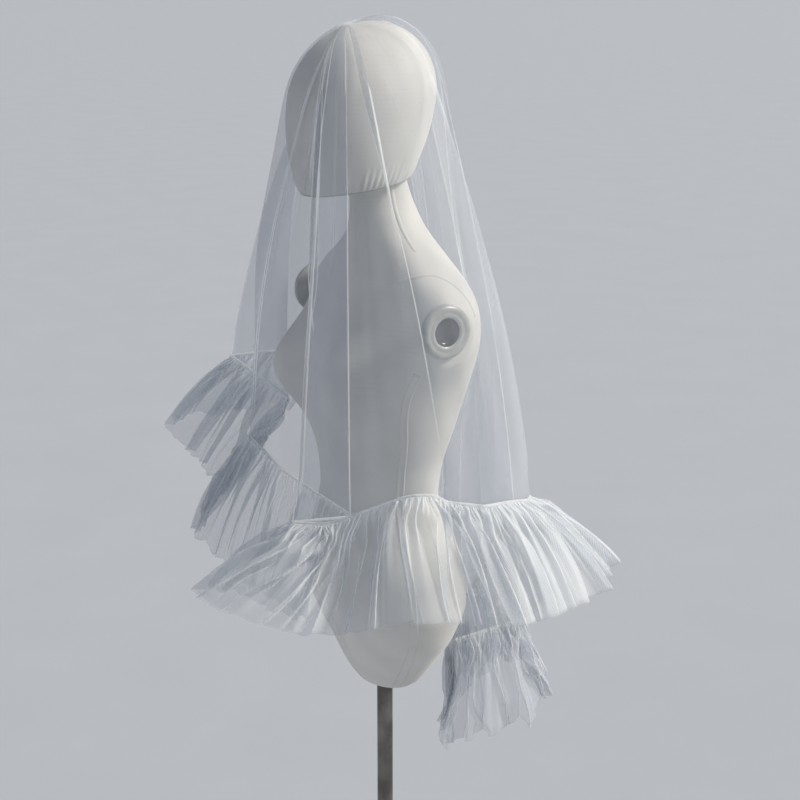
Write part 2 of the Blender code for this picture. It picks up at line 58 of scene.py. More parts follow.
# ---------------------------------------------------------------- the dress form's sizes
SEAM_FRONT_Z = 1.459  # height of the neck seam below the chin
SEAM_FRONT_Y = -0.109
SEAM_TILT = 0.1375  # rise of the neck seam towards the nape, over its run
SEAM_GAP = 0.0003  # between two covers that meet
HEAD_CENTRE_Z = 1.570  # where the head is widest
HEAD_CENTRE_Y = -0.030
HEAD_LEAN = 0.15  # how far the head's middle comes forward on its way down, over its fall
HEAD_HALF_WIDTH = 0.078
HEAD_HALF_DEPTH = 0.094
HEAD_UP = 0.092  # from its widest place to its top
HEAD_DOWN = 0.150  # from there to the end of the egg, below the neck seam
HEAD_MESH = (110, 216)  # rings and sides

BUST_OUT = 0.052  # how far the bust stands out of the front, and where
BUST_X = 0.070
BUST_Z = 1.238
BUST_SPREAD_X = 0.052  # how wide and how high it is
BUST_SPREAD_Z = 0.062
BUST_ROUND = 0.6  # below 1, the bust spreads further round to the sides
ARM_FACE_X = 0.158  # the flat faces that carry the arm rings
ARM_Y = -0.010
ARM_Z = 1.309
ARM_RING_DEPTH = 0.010
TORSO_STEP = 0.001  # height between two of the smoothed sections
TORSO_SOFT = 7.0  # number of sections over which they are smoothed
TORSO_SOFT_FROM = (0.801, 0.835)  # heights between which the smoothing comes in
TORSO_SOFT_TO = (1.473, 1.445)  # the same from the top
TORSO_MESH = (190, 176)  # rings and sides
NECK_FIT_FROM = 1.40  # the height from which the torso's rings tilt to meet the neck seam

# Gathers of the head's cover above the neck seam, on both sides.
GATHER_WIDTH = 0.028  # rad
GATHER_DEPTH = 0.0027  # how far the deepest stand out
GATHER_HEIGHTS = (0.034, 0.006)  # above the seam, where they start and are full
SEAM_BULGE = (0.0010, 0.006, 0.009)  # depth, height above the seam and reach of the cover's soft rim
NAPE_GATHERS = (
    # turn (deg) from the form's side towards its back, depth
    (-66, 0.35), (-48, 0.30), (-30, 0.40), (-13, 0.75), (-7, 0.95), (-1, 1.0), (5, 0.9), (11, 1.0),
    (17, 0.8), (24, 0.6), (38, 0.5), (52, 0.6), (66, 0.45), (82, 0.6),
)

# Section of an arm ring, from the middle of its back to the middle of its recess.
ARM_RING_SECTION = (
    # radius (mm), height (mm)
    (0.0, 0.0), (32.0, 0.0), (33.0, 1.2), (33.1, 4.0), (32.6, 6.8), (31.2, 8.8), (29.0, 9.9),
    (26.0, 10.0), (24.5, 9.2), (23.0, 9.0), (21.2, 9.8), (19.0, 9.7), (17.0, 8.2), (15.4, 5.6),
    (14.6, 3.4), (12.8, 2.7), (7.5, 2.4), (3.0, 2.3), (0.0, 2.3),
)
RECESS_SHADE_RADIUS = 0.0165  # of the part inside a ring that is painted dark as the shade in its hollow
RECESS_SHADE_FROM = 0.0015  # height above a ring's back from which a face can be in the recess

STAND_FINISH = (
    # node, colour, roughness
    ("form_pole", "8B8781", 0.34),
    ("stand_base", "A19E99", 0.42),
)

# Sections of the torso, from the bottom up.
TORSO = (
    # height, half_width, front_depth, back_depth
    (0.8010, 0.026, 0.021, 0.022),
    (0.8080, 0.050, 0.033, 0.035),
    (0.8200, 0.068, 0.042, 0.044),
    (0.8380, 0.084, 0.050, 0.051),
    (0.8600, 0.103, 0.058, 0.060),
    (0.8900, 0.127, 0.072, 0.072),
    (0.9300, 0.143, 0.088, 0.090),
    (0.9800, 0.138, 0.092, 0.089),
    (1.0300, 0.113, 0.085, 0.070),
    (1.0750, 0.096, 0.078, 0.055),
    (1.1210, 0.103, 0.079, 0.061),
    (1.1610, 0.118, 0.082, 0.074),
    (1.2000, 0.129, 0.086, 0.087),
    (1.2300, 0.140, 0.087, 0.095),
    (1.2600, 0.156, 0.080, 0.098),
    (1.2850, 0.166, 0.068, 0.098),
    (1.3090, 0.168, 0.055, 0.096),
    (1.3280, 0.163, 0.049, 0.093),
    (1.3450, 0.150, 0.046, 0.087),
    (1.3600, 0.130, 0.044, 0.080),
    (1.3780, 0.100, 0.042, 0.071),
    (1.3950, 0.074, 0.041, 0.061),
    (1.4140, 0.052, 0.041, 0.050),
    (1.4400, 0.039, 0.043, 0.038),
    (1.4567, 0.037, 0.045, 0.031),
    (1.4730, 0.036, 0.047, 0.0245),
)

# Sections of a sewn band: shares of its half width and of its height.
ROUND_BAND = ((-1.0, -0.6), (-0.75, 0.55), (0.0, 1.0), (0.75, 0.55), (1.0, -0.6), (0.0, -0.8))
OPEN_SEAM = (
    (-1.0, -0.5), (-0.86, 0.7), (-0.68, 0.9), (-0.45, 0.45), (0.0, 0.3), (0.45, 0.45),
    (0.68, 0.9), (0.86, 0.7), (1.0, -0.5), (0.0, -0.8),
)
WELT_HEIGHT = 0.0007
WELT = (0.0030, ROUND_BAND)  # half width and section of a plain seam
PRESSED_SEAM = (0.0052, OPEN_SEAM)  # and of one pressed open

# The torso's seams that run down it.
LONG_SEAMS = (
    # first and last angle (deg), first and last height, points, kind
    (-22.5, -22.5, 1.255, 0.812, 120, PRESSED_SEAM),
    (202.5, 202.5, 1.255, 0.812, 120, PRESSED_SEAM),
    (-90.0, -90.0, SEAM_FRONT_Z, 0.812, 150, WELT),
    (90.0, 90.0, SEAM_FRONT_Z, 0.812, 150, WELT),
    (-13.0, -2.0, 1.468, 1.392, 50, WELT),
    (193.0, 182.0, 1.468, 1.392, 50, WELT),
)
ARMHOLE_SWEEP = (-44, 80, 60)  # first and last turn (deg) of the seam above a ring, and its points
ARMHOLE_HALF_WIDTH = 0.047
ARMHOLE_HALF_HEIGHT = 0.060
ARMHOLE_BACK = 0.004  # how far its middle is behind the ring's
ARMHOLE_BUST = (0.4, 0.11)  # share of the bust that it follows, and its distance from the middle
NECK_CORD = (0.0013, 0.0011)  # half width and height
NECK_CORD_IN = (0.0004, 0.0006)  # how far it is sunk inward and down
NECK_CORD_TILT = -0.6  # height over reach of the way it faces: down and out

# ---------------------------------------------------------------- the veil's sizes
PEAK = np.array((0.0, -0.052))  # in plan, where all the folds start
HEAD_CLEAR = 0.0045  # between the head and the net that rests on it
FORM_CLEAR = 0.015  # between the torso and the net that hangs beside it
BOW = 0.022  # how far a hanging thread bows out
HEAD_SWEEP = (0.02, 0.72 * math.pi, 420)  # angles from the head's top where a thread may rest
CREASE_REACH = 0.014  # how far from a crest or a valley the ruffle's edge is rounded
CREASE_TIGHT = 0.0035  # the same reach in the panel, whose folds are sharp
CREASE_SHARE = 0.3  # at most this share of the way to the next row
SOFT_ROWS = (5, 6, 7, 8, 20, 27)  # where the cloth only swells
SOFT_REACH = (0.010, 0.022)  # how far their corners are rounded, and over what length
SEAM_DROP = 0.0018  # how far the ruffle's seam line is below the panel's edge

# The panel's edge, in order round the form. A crest is a fold that stands out, a valley one
# that lies in, and a wall is smooth. Lift is how much further off the head the thread to
# that place lies, so that doubled cloth stays apart. Flare is how far the ruffle below it
# turns out of the vertical.
HEM = (
    # kind, bearing (deg), radius, height, lift, flare (deg)
    ("crest", -10.0, 0.180, 1.160, 0.0000, 32.0),
    ("wall", 20.5, 0.192, 1.140, 0.0000, 22.0),
    ("wall", 31.0, 0.190, 1.125, 0.0000, 20.0),
    ("valley", 49.5, 0.206, 1.100, 0.0015, 20.0),
    ("crest", 36.7, 0.273, 1.110, 0.0075, 68.0),
    ("wall", 46.0, 0.262, 1.108, 0.0080, 40.0),
    ("wall", 55.0, 0.262, 1.126, 0.0070, 32.0),
    ("crest", 65.0, 0.292, 1.154, 0.0050, 34.0),
    ("wall", 71.0, 0.290, 1.154, 0.0030, 34.0),
    ("valley", 74.5, 0.280, 1.140, 0.0020, 34.0),
    ("crest", 84.0, 0.280, 1.130, 0.0010, 36.0),
    ("wall", 95.0, 0.256, 1.120, 0.0000, 38.0),
    ("wall", 107.3, 0.234, 1.105, 0.0030, 44.0),
    ("crest", 122.0, 0.205, 1.090, 0.0060, 62.0),
    ("valley", 133.0, 0.150, 1.015, 0.0075, 24.0),
    ("wall", 145.0, 0.125, 0.940, 0.0080, 16.0),
    ("wall", 158.0, 0.108, 0.872, 0.0080, 10.0),
    ("wall", 168.0, 0.112, 0.844, 0.0080, 14.0),
    ("crest", 173.0, 0.222, 0.854, 0.0075, 24.0),
    ("valley", 184.0, 0.170, 0.848, 0.0065, 24.0),
    ("crest", 195.0, 0.245, 0.850, 0.0050, 30.0),
    ("valley", 205.0, 0.140, 0.875, 0.0025, 22.0),
    ("crest", 215.0, 0.215, 0.950, 0.0000, 32.0),
    ("valley", 225.0, 0.165, 1.030, 0.0000, 28.0),
    ("wall", 232.5, 0.212, 1.060, 0.0000, 34.0),
    ("crest", 238.0, 0.270, 1.090, 0.0000, 48.0),
    ("valley", 248.0, 0.215, 1.130, 0.0000, 30.0),
    ("crest", 262.0, 0.332, 1.180, 0.0000, 46.0),
    ("wall", 272.0, 0.318, 1.190, 0.0000, 38.0),
    ("crest", 282.0, 0.327, 1.190, 0.0000, 44.0),
    ("valley", 294.0, 0.158, 1.168, 0.0000, 34.0),
    ("wall", 311.0, 0.140, 1.158, 0.0000, 34.0),
    ("wall", 330.0, 0.145, 1.155, 0.0000, 38.0),
)

# How far the threads' run over the head is turned from the straight way to the edge.
HEAD_TURNS = (
    # row of HEM, turn (deg)
    (0, 44.0), (1, 8.0), (2, -6.0), (3, 0.0), (8, 0.0), (9, -14.0), (10, 0.0), (30, 0.0),
    (31, 10.0), (32, 27.0),
)

# Small folds of the panel between the main ones. Place is a row number of HEM with the
# share of the way to the next row. The doubled part is width wide at the edge, and the
# layers are apart by gap. Start and end are the shares of the thread where the fold
# closes and opens again.
FOLDS = (
    # place, width (mm), gap (mm), start, end, side
    (0.08, 7, 2.0, 0.14, 1.20, 1),
    (2.10, 12, 2.2, 0.06, 0.62, 1),
    (2.62, 6, 2.0, 0.72, 1.20, 1),
    (8.98, 4, 2.0, 0.44, 1.20, -1),
    (9.65, 7, 2.0, 0.50, 1.20, 1),
    (10.40, 14, 2.2, 0.34, 1.20, 1),
    (11.45, 16, 2.4, 0.08, 1.20, 1),
    (12.60, 13, 2.4, 0.22, 1.20, -1),
    (13.30, 8, 2.2, 0.14, 1.20, 1),
    (15.30, 10, 2.2, 0.10, 1.20, 1),
    (17.45, 14, 2.2, 0.12, 1.20, -1),
    (19.45, 12, 2.2, 0.16, 1.20, 1),
    (20.50, 12, 2.2, 0.12, 1.20, -1),
    (21.50, 12, 2.2, 0.30, 1.20, 1),
    (23.50, 9, 2.2, 0.14, 1.20, 1),
    (25.50, 12, 2.2, 0.24, 1.20, -1),
    (26.55, 18, 2.4, 0.10, 1.20, 1),
    (29.40, 14, 2.2, 0.12, 1.20, 1),
)
FOLD_RAMP = 0.008  # the plain cloth on each side of a fold that leads into it
FOLD_CLOSES = 0.22  # share of the thread over which a fold closes
FOLD_OPENS = 0.14  # share of the thread over which it opens again
FOLD_FACE_POINTS = 5
FOLD_BEND_POINTS = 7
FOLD_LIFT = (0.0011, 2.5 * MM)  # lift off the head of a folded layer, doubled so far out

# Where the cloth is bunched: the net reads denser there, and is painted whiter as highlight.
BUNCHED = (
    # first row of HEM, last row, extra cover of the panel, extra cover of the ruffle
    (2.8, 5.2, 0.00, 0.12),
    (3.8, 6.2, 0.00, 0.20),
    (6.2, 9.2, 0.00, 0.14),
    (9.2, 13.2, 0.00, 0.32),
    (9.2, 10.6, 0.05, 0.00),
    (10.6, 13.4, 0.13, 0.00),
    (17.0, 21.0, 0.10, 0.12),
    (22.5, 26.5, 0.12, 0.08),
)

# Where the hanging cloth sways out of its even fall.
SWAY = (
    # first and last row of HEM, how far the seam moves, and how far the cut edge does
    (14.5, 18.9, (-0.0130, -0.0225, -0.008), (-0.037, -0.062, -0.014)),
    (9.2, 13.8, (0.0, 0.0, 0.0), (-0.010, -0.002, -0.004)),
)

# Soft swells of the panel between its folds.
SWELLS = (
    # length along the edge, height, phase (rad)
    (0.083, 0.0026, 0.4),
    (0.047, 0.0012, 2.1),
    (0.151, 0.0036, 4.0),
)
SWELL_SHARES = (0.25, 0.6, 1.0, 0.9)  # of a thread: they start, are full, have gone, begin to go
SWELL_WANDER = 5.1  # how fast the swells' phase wanders, in rad a metre

PANEL_RINGS = 50
RING_SPREAD = 1.12  # above 1, the rings are closer together at the peak
SPARSE_RINGS = ((0.085, 4), (0.2, 2))  # up to this share of a thread, one thread in so many
EDGE_STEP = 0.0005  # between two points of the edge's table
CREASE_SOFT = 0.0016  # how far the edge's corners are rounded
OUT_SOFT = 0.004  # reach over which the direction out of the edge is smoothed
TURN_STEP = 0.36  # widest turn in radians between two threads of the panel's mesh
WALL_STEP = 0.0085  # widest space between two of them
GENTLE_TURN = 15.0  # rad a metre that this space follows well
PANEL_CREASE = 0.0016  # radius of a fold that reads white
PEAK_COVER = 0.6  # of the net at the peak, where all the threads crowd
PANEL_CREST_COVER = 0.7
CLOTH_SHELL = 0.0005  # thickness of the thin shells
SEAM_TAPE = (0.0021, 0.0009)  # half height and half thickness of the rolled seam
SEAM_POINTS = 1800
SEAM_PUCKERS = (420, 0.35)  # number and share of the thickness
SEAM_SEED = 3

# ---------------------------------------------------------------- the ruffle's sizes
RUFFLE_MARGIN = 0.015  # kept free between two walls of the ruffle that face each other
SEAM_ROOM = 0.002  # free space at the seam
COARSE = 336  # lines of the middle surface round the ruffle
FLARE_STEPS = 24  # its steps from the seam down
FLARE_TURN = (1.22, 0.44)  # share of the flare below the seam, and how much of it goes on the way down
LEAST_FALL = 0.45  # share of a step that the cloth always falls
STRETCHES = 8
FIRST_LINE = 7  # the line of the middle surface where the first stretch starts
LINES_PER_STRETCH = 660  # of the mesh, on average
RUFFLE_ROWS = 33  # of the mesh
ROW_SPREAD = 1.25  # above 1, the rows are closer together at the seam
RUFFLE_SEWN = (0.6 * MM, 0.5 * MM)  # how far outside and below the panel's edge it is sewn
CREASE_WIDTH = 0.0012  # of the sharp folds between two flat faces
TAIL = (13.5, 21.5)  # rows of HEM between which the ruffle is gathered closer
TAIL_CLOTH = 0.6  # how much more cloth there is in the tail
EXTRA_CLOTH = 0.9  # how much more cloth is gathered where the cut edge spreads
RUFFLE_CREST_COVER = 0.55
RUFFLE_NET = 1.2  # how much denser the ruffle's net is than the panel's
CUT_EDGE_COVER = 0.12

# How much each size of wave turns the cloth, from the seam down.
WAVES = (
    # share of the width, big flutes, middle waves, fine gathers
    (0.00, 0.02, 0.20, 1.00),
    (0.06, 0.16, 0.55, 0.62),
    (0.15, 0.38, 0.62, 0.24),
    (0.35, 0.72, 0.42, 0.06),
    (0.65, 0.94, 0.22, 0.01),
    (1.00, 1.00, 0.10, 0.00),
)
WAVE_HEIGHT = 0.021  # of the big flutes where they are free
VALLEY_SHARE = 0.22  # of that height deep in a valley

# ---------------------------------------------------------------- the stage
CAMERA_BEARING = 60.0
CAMERA_DISTANCE = 2.0
CAMERA_HEIGHT = 1.72
CAMERA_PITCH = math.radians(14.9)
CAMERA_SHIFT = 17 / 1614  # how far beside the lens's axis the pole is, over its distance
CAMERA_LENS = 72.63  # mm, on a sensor of full width
SENSOR_WIDTH = 36.0
SOFTBOXES = (
    # name, bearing, rise and spread (deg), strength, colour
    ("key_softbox", 144, 38, 20, 4.75, "FFF9F0"),
    ("back_softbox", 215, 30, 40, 0.6, "EEF3FF"),
    ("front_softbox", 2, 24, 60, 0.55, "EEF3FF"),
)
AIR_COLOUR = "C6D2E2"
AIR_STRENGTH = 0.28
WALL_COLOUR = "B9BEC5"
FLOOR_RADII = (0.5, 1.5, 4.0, 12.0, 40.0, 150.0, 600.0)
FLOOR_SIDES = 128
FLOOR_TOP = -0.0004  # just under the base plate


class VeilSizes(bpy.types.PropertyGroup):
    """Sizes of the veil that a user would change."""

    ruffle_width: bpy.props.FloatProperty(
        name="Ruffle Width",
        description="Width of the gathered ruffle from its seam to its cut edge",
        default=0.143, min=0.05, max=0.30, unit="LENGTH",
    )
    fullness: bpy.props.FloatProperty(
        name="Fullness",
        description="Length of the ruffle's cloth over the length of its seam",
        default=2.7, min=1.2, max=4.0,
    )
    flutes: bpy.props.IntProperty(
        name="Flutes",
        description="Number of wide flutes round the ruffle's cut edge",
        default=114, min=20, max=160,
    )
    seed: bpy.props.IntProperty(
        name="Seed", description="Pattern of uneven flutes", default=7, min=0,
    )


class VeilColours(bpy.types.PropertyGroup):
    """Colours of the cloth, the form and the floor."""

    tulle: bpy.props.StringProperty(
        name="Tulle", description="Colour of the net as sRGB hex", default="F2F5F7",
    )
    # Cool grey painted on one flat layer of the net as shade; the net itself is white.
    thin_tulle_shade: bpy.props.StringProperty(
        name="Thin Tulle", description="Colour of one flat layer of the net as sRGB hex",
        default="B4BAC4",
    )
    cover: bpy.props.StringProperty(
        name="Cover", description="Colour of the form's jersey as sRGB hex", default="DEDCD6",
    )
    floor: bpy.props.StringProperty(
        name="Floor", description="Colour of the floor as sRGB hex", default="A6AAB0",
    )
    opacity: bpy.props.FloatProperty(
        name="Net Cover",
        description="Share of the light that one flat layer of the net stops",
        default=0.26, min=0.02, max=0.9, subtype="FACTOR",
    )


# ---------------------------------------------------------------- numbers and curves
def linear(hex_colour):
    """An sRGB hex colour as a linear RGBA colour."""
    parts = [int(hex_colour[i : i + 2], 16) / 255 for i in (0, 2, 4)]
    return tuple(c / 12.92 if c <= 0.04045 else ((c + 0.055) / 1.055) ** 2.4 for c in parts) + (1.0,)


def blur(values, reach, closed=True):
    """Values smoothed along their first axis; reach is in steps."""
    half = max(1, int(round(3 * reach)))
    weights = np.exp(-0.5 * (np.arange(-half, half + 1) / reach) ** 2)
    weights /= weights.sum()
    if closed:
        padded = np.concatenate([values[-half:], values, values[:half]])
    else:
        first = 2 * values[:1] - values[half:0:-1]
        last = 2 * values[-1:] - values[-2 : -half - 2 : -1]
        padded = np.concatenate([first, values, last])
    out = np.zeros_like(values, dtype=float)
    for k, weight in enumerate(weights):
        out += weight * padded[k : k + len(values)]
    return out


def smoothstep(low, high, value):
    """A soft step from 0 at low to 1 at high."""
    share = np.clip((np.asarray(value, dtype=float) - low) / (high - low), 0.0, 1.0)
    return share * share * (3 - 2 * share)


def plan(bearing, radius):
    """Place in plan of a bearing in degrees and a radius."""
    angle = math.radians(bearing)
    return np.array((radius * math.sin(angle), -radius * math.cos(angle)))


def towards(here, other, distance):
    """A row of the edge a little way towards another."""
    share = min(CREASE_SHARE, distance / np.linalg.norm((other - here)[:3]))
    return here + (other - here) * share


def unit(vectors):
    """Vectors of length 1 in the same directions."""
    return vectors / (np.linalg.norm(vectors, axis=-1, keepdims=True) + 1e-12)


def outward(curve):
    """Unit vectors in plan that point out of a closed curve."""
    ahead = np.roll(curve, -1, axis=0) - np.roll(curve, 1, axis=0)
    normal = unit(np.stack([ahead[:, 1], -ahead[:, 0]], axis=1))
    for _ in range(3):
        normal = normal + np.roll(normal, 1, axis=0) + np.roll(normal, -1, axis=0)
    return unit(normal)


def sample(table, places, whole):
    """Rows of an evenly spaced closed table at places from 0 to whole."""
    count = len(table)
    at = (np.asarray(places) / whole * count) % count
    low = np.floor(at).astype(int) % count
    share = (at - np.floor(at)).reshape(-1, *([1] * (table.ndim - 1)))
    return table[low] * (1 - share) + table[(low + 1) % count] * share


# ---------------------------------------------------------------- the form's surfaces
def torso_sections():
    """The torso's sections, smoothed, in small even steps of height."""
    table = np.array(TORSO)
    heights = np.arange(table[0, 0], table[-1, 0] + TORSO_STEP / 2, TORSO_STEP)
    sections = np.stack([np.interp(heights, table[:, 0], table[:, i]) for i in (1, 2, 3)], axis=1)
    soft = blur(sections, TORSO_SOFT, closed=False)
    ends = smoothstep(*TORSO_SOFT_FROM, heights) * smoothstep(*TORSO_SOFT_TO, heights)
    return heights, sections + (soft - sections) * ends[:, None]


TORSO_HEIGHTS, TORSO_SECTIONS = torso_sections()


def torso_section(height):
    """Half width, front depth and back depth of the torso at a height."""
    return [np.interp(height, TORSO_HEIGHTS, TORSO_SECTIONS[:, i]) for i in range(3)]


def bust(x, height):
    """How far the bust stands out of the torso's front."""
    across = (np.abs(x) - BUST_X) / BUST_SPREAD_X
    up = (height - BUST_Z) / BUST_SPREAD_Z
    return BUST_OUT * np.exp(-across * across - up * up)


def torso_points(height, angle):
    """Points of the torso's surface; angle 0 is the form's left and -90 deg its front."""
    half_width, front, back = torso_section(height)
    x = np.clip(half_width * np.cos(angle), -ARM_FACE_X, ARM_FACE_X)
    side = np.sin(angle)
    ahead = side * front - bust(x, height) * np.clip(-side, 0, 1) ** BUST_ROUND
    y = np.where(side < 0, ahead, side * back)
    return np.stack([x, y, np.broadcast_to(height, x.shape)], axis=-1)


def torso_normals(height, angle):
    """Outward unit vectors of the torso's surface."""
    step = 0.002  # rad
    across = torso_points(height, angle + step) - torso_points(height, angle - step)
    up = torso_points(height + 0.5 * MM, angle) - torso_points(height - 0.5 * MM, angle)
    return unit(np.cross(across, up))


def push_off_torso(points, clear):
    """Moves points of the cloth out to where they clear the torso."""
    x, y, height = points.T
    half_width, front, back = torso_section(height)
    half_width = np.minimum(half_width, ARM_FACE_X + ARM_RING_DEPTH) + clear
    depth = np.where(y < 0, front + bust(x, height), back) + clear
    inside = np.hypot(x / half_width, y / depth)
    touched = (inside < 1.0) & (inside > 0.0) & (height < TORSO[-1][0]) & (height > TORSO[0][0])
    scale = np.where(touched, 1 / np.maximum(inside, 1e-6), 1.0)
    return np.stack([x * scale, y * scale, height], axis=1)


def head_section(height, clear=0.0):
    """Half width, half depth and middle of the head, or of a surface clear of it."""
    reach = np.where(height > HEAD_CENTRE_Z, HEAD_UP, HEAD_DOWN) + clear
    share = np.sqrt(np.maximum(0.0, 1.0 - ((height - HEAD_CENTRE_Z) / reach) ** 2))
    middle = HEAD_CENTRE_Y - HEAD_LEAN * (HEAD_CENTRE_Z - height)
    return (HEAD_HALF_WIDTH + clear) * share, (HEAD_HALF_DEPTH + clear) * share, middle


def push_off_head(points, clear):
    """Points moved outward where they are nearer to the head than clear."""
    beside = np.clip(points[:, 2], SEAM_FRONT_Z, HEAD_CENTRE_Z + 0.9 * HEAD_UP)
    width, depth, middle = head_section(beside, clear)
    apart = np.hypot(points[:, 0] / width, (points[:, 1] - middle) / depth)
    near = (points[:, 2] == beside) & (apart < 1)
    grow = np.where(near, 1 / np.maximum(apart, 0.2), 1.0)
    return np.column_stack([points[:, 0] * grow, middle + (points[:, 1] - middle) * grow, points[:, 2]])


def seam_height(y):
    """Height of the tilted plane of the neck seam."""
    return SEAM_FRONT_Z + SEAM_TILT * (y - SEAM_FRONT_Y)


def head_bottom(turns):
    """Height of the head's lower edge at each turn about its middle."""
    height = np.full(len(turns), SEAM_FRONT_Z)
    for _ in range(12):
        _, depth, middle = head_section(height)
        height = seam_height(middle + depth * np.sin(turns))
    return height


# ---------------------------------------------------------------- mesh tools
def mesh_object(name, points, faces):
    """A smooth-shaded mesh object in the scene."""
    mesh = bpy.data.meshes.new(name)
    mesh.from_pydata(np.asarray(points).tolist(), [], faces)
    mesh.validate()
    mesh.shade_smooth()
    obj = bpy.data.objects.new(name, mesh)
    bpy.context.scene.collection.objects.link(obj)
    return obj


def grid(rows, columns, closed=False, start=0):
    """Quads of a grid of points, row by row."""
    faces = []
    for row in range(rows - 1):
        low = start + row * columns
        for column in range(columns if closed else columns - 1):
            right = (column + 1) % columns
            faces.append((low + column, low + columns + column, low + columns + right, low + right))
    return faces


def vertex_normals(points, faces):
    """Unit normals of a mesh of triangles and quads at its points."""
    normals = np.zeros_like(points)
    for size in (3, 4):
        group = np.array([f for f in faces if len(f) == size])
        if not len(group):
            continue
        corners = points[group]
        if size == 3:
            face = np.cross(corners[:, 1] - corners[:, 0], corners[:, 2] - corners[:, 0])
        else:
            face = np.cross(corners[:, 2] - corners[:, 0], corners[:, 3] - corners[:, 1])
        for k in range(size):
            np.add.at(normals, group[:, k], face)
    return unit(normals)


def shell(name, points, faces, thickness, density, flat):
    """A closed thin shell of cloth on a surface, with its cover and flat place stored."""
    points = np.asarray(points)
    normals = vertex_normals(points, faces)
    count = len(points)
    both = np.concatenate([points + normals * thickness / 2, points - normals * thickness / 2])
    edges = {}
    for face in faces:
        for a, b in zip(face, face[1:] + face[:1]):
            if (b, a) in edges:
                del edges[(b, a)]
            else:
                edges[(a, b)] = True
    back = [tuple(v + count for v in reversed(face)) for face in faces]
    rim = [(b, a, a + count, b + count) for a, b in edges]
    obj = mesh_object(name, both, list(faces) + back + rim)
    cover = obj.data.attributes.new("cover", "FLOAT", "POINT")
    cover.data.foreach_set("value", np.tile(np.asarray(density, dtype=np.float32), 2))
    lay = obj.data.uv_layers.new(name="flat")
    corner = np.empty(len(obj.data.loops), dtype=np.int32)
    obj.data.loops.foreach_get("vertex_index", corner)
    lay.data.foreach_set("uv", np.tile(np.asarray(flat, dtype=np.float32), (2, 1))[corner].ravel())
    return obj


def lathe(profile, sides):
    """Points and faces of a closed turned form about +Z from (radius, height) rows."""
    turns = np.linspace(0, 2 * math.pi, sides, endpoint=False)
    inner = [row for row in profile if row[0] > 0]
    rings = [[(r * math.cos(t), r * math.sin(t), h) for t in turns] for r, h in inner]
    points = np.concatenate(rings)
    faces = grid(len(rings), sides, closed=True)
    for row, ring in ((profile[0], 0), (profile[-1], len(rings) - 1)):
        if row[0] == 0:
            points = np.concatenate([points, [(0, 0, row[1])]])
            tip, base = len(points) - 1, ring * sides
            for i in range(sides):
                a, b = base + i, base + (i + 1) % sides
                faces.append((tip, b, a) if ring else (tip, a, b))
    return points, faces


def strip(path, normals, half_width, height, closed=False, section=ROUND_BAND):
    """Points and faces of a low band that runs along a path on a surface."""
    path, normals = np.asarray(path), np.asarray(normals)
    if closed:
        along = unit(np.roll(path, -1, axis=0) - np.roll(path, 1, axis=0))
    else:
        along = unit(np.gradient(path, axis=0))
    side = unit(np.cross(along, normals))
    height = np.broadcast_to(height, (len(path),))
    rows = [path + side * half_width * a + normals * (height * b)[:, None] for a, b in section]
    rows = np.stack(rows, axis=1)
    columns, count = len(section), len(path)
    faces = []
    for i in range(count if closed else count - 1):
        a, b = i * columns, ((i + 1) % count) * columns
        for k in range(columns):
            after = (k + 1) % columns
            faces.append((a + k, b + k, b + after, a + after))
    if not closed:
        faces.append(tuple(range(columns)))
        faces.append(tuple((count - 1) * columns + k for k in reversed(range(columns))))
    return rows.reshape(-1, 3), faces


def join(parts):
    """Several (points, faces) as one."""
    points, faces, start = [], [], 0
    for some, theirs in parts:
        points.append(some)
        faces += [tuple(v + start for v in face) for face in theirs]
        start += len(some)
    return np.concatenate(points), faces


def closed_tube(rows, sides):
    """Points and faces of rings from the bottom up, with a fan over each end."""
    points = np.concatenate([rows, [rows[-sides:].mean(axis=0), rows[:sides].mean(axis=0)]])
    faces = grid(len(rows) // sides, sides, closed=True)
    last, top = len(rows) - sides, len(rows)
    for i in range(sides):
        j = (i + 1) % sides
        faces.append((last + j, last + i, top))
        faces.append((i, j, top + 1))
    return points, faces


def turn_outward(obj):
    """Turns a closed mesh's faces outward by the sign of its volume."""
    mesh = obj.data
    mesh.calc_loop_triangles()
    points = np.array([v.co[:] for v in mesh.vertices])
    corners = points[np.array([t.vertices[:] for t in mesh.loop_triangles])]
    volume = (corners[:, 0] * np.cross(corners[:, 1], corners[:, 2])).sum()
    if volume < 0:
        mesh.flip_normals()


# ---------------------------------------------------------------- materials
def material(name):
    """An empty node material."""
    made = bpy.data.materials.new(name)
    made.use_nodes = True
    made.node_tree.nodes.clear()
    return made


def node(made, kind, links=(), **settings):
    """Adds a node with its settings. Links are (input, node, output) rows."""
    new = made.node_tree.nodes.new(kind)
    for key, value in settings.items():
        if hasattr(new, key) and key not in ("inputs", "outputs"):
            setattr(new, key, value)
        else:
            new.inputs[key.replace("_", " ")].default_value = value
    for target, other, output in links:
        made.node_tree.links.new(other.outputs[output], new.inputs[target])
    return new


def ramp(made, source, output, stops):
    """A colour ramp of (place, grey or colour) stops."""
    new = node(made, "ShaderNodeValToRGB", [("Fac", source, output)])
    bar = new.color_ramp
    while len(bar.elements) < len(stops):
        bar.elements.new(0.5)
    for element, (place, colour) in zip(bar.elements, stops):
        element.position = place
        element.color = colour if isinstance(colour, tuple) else (colour, colour, colour, 1.0)
    return new


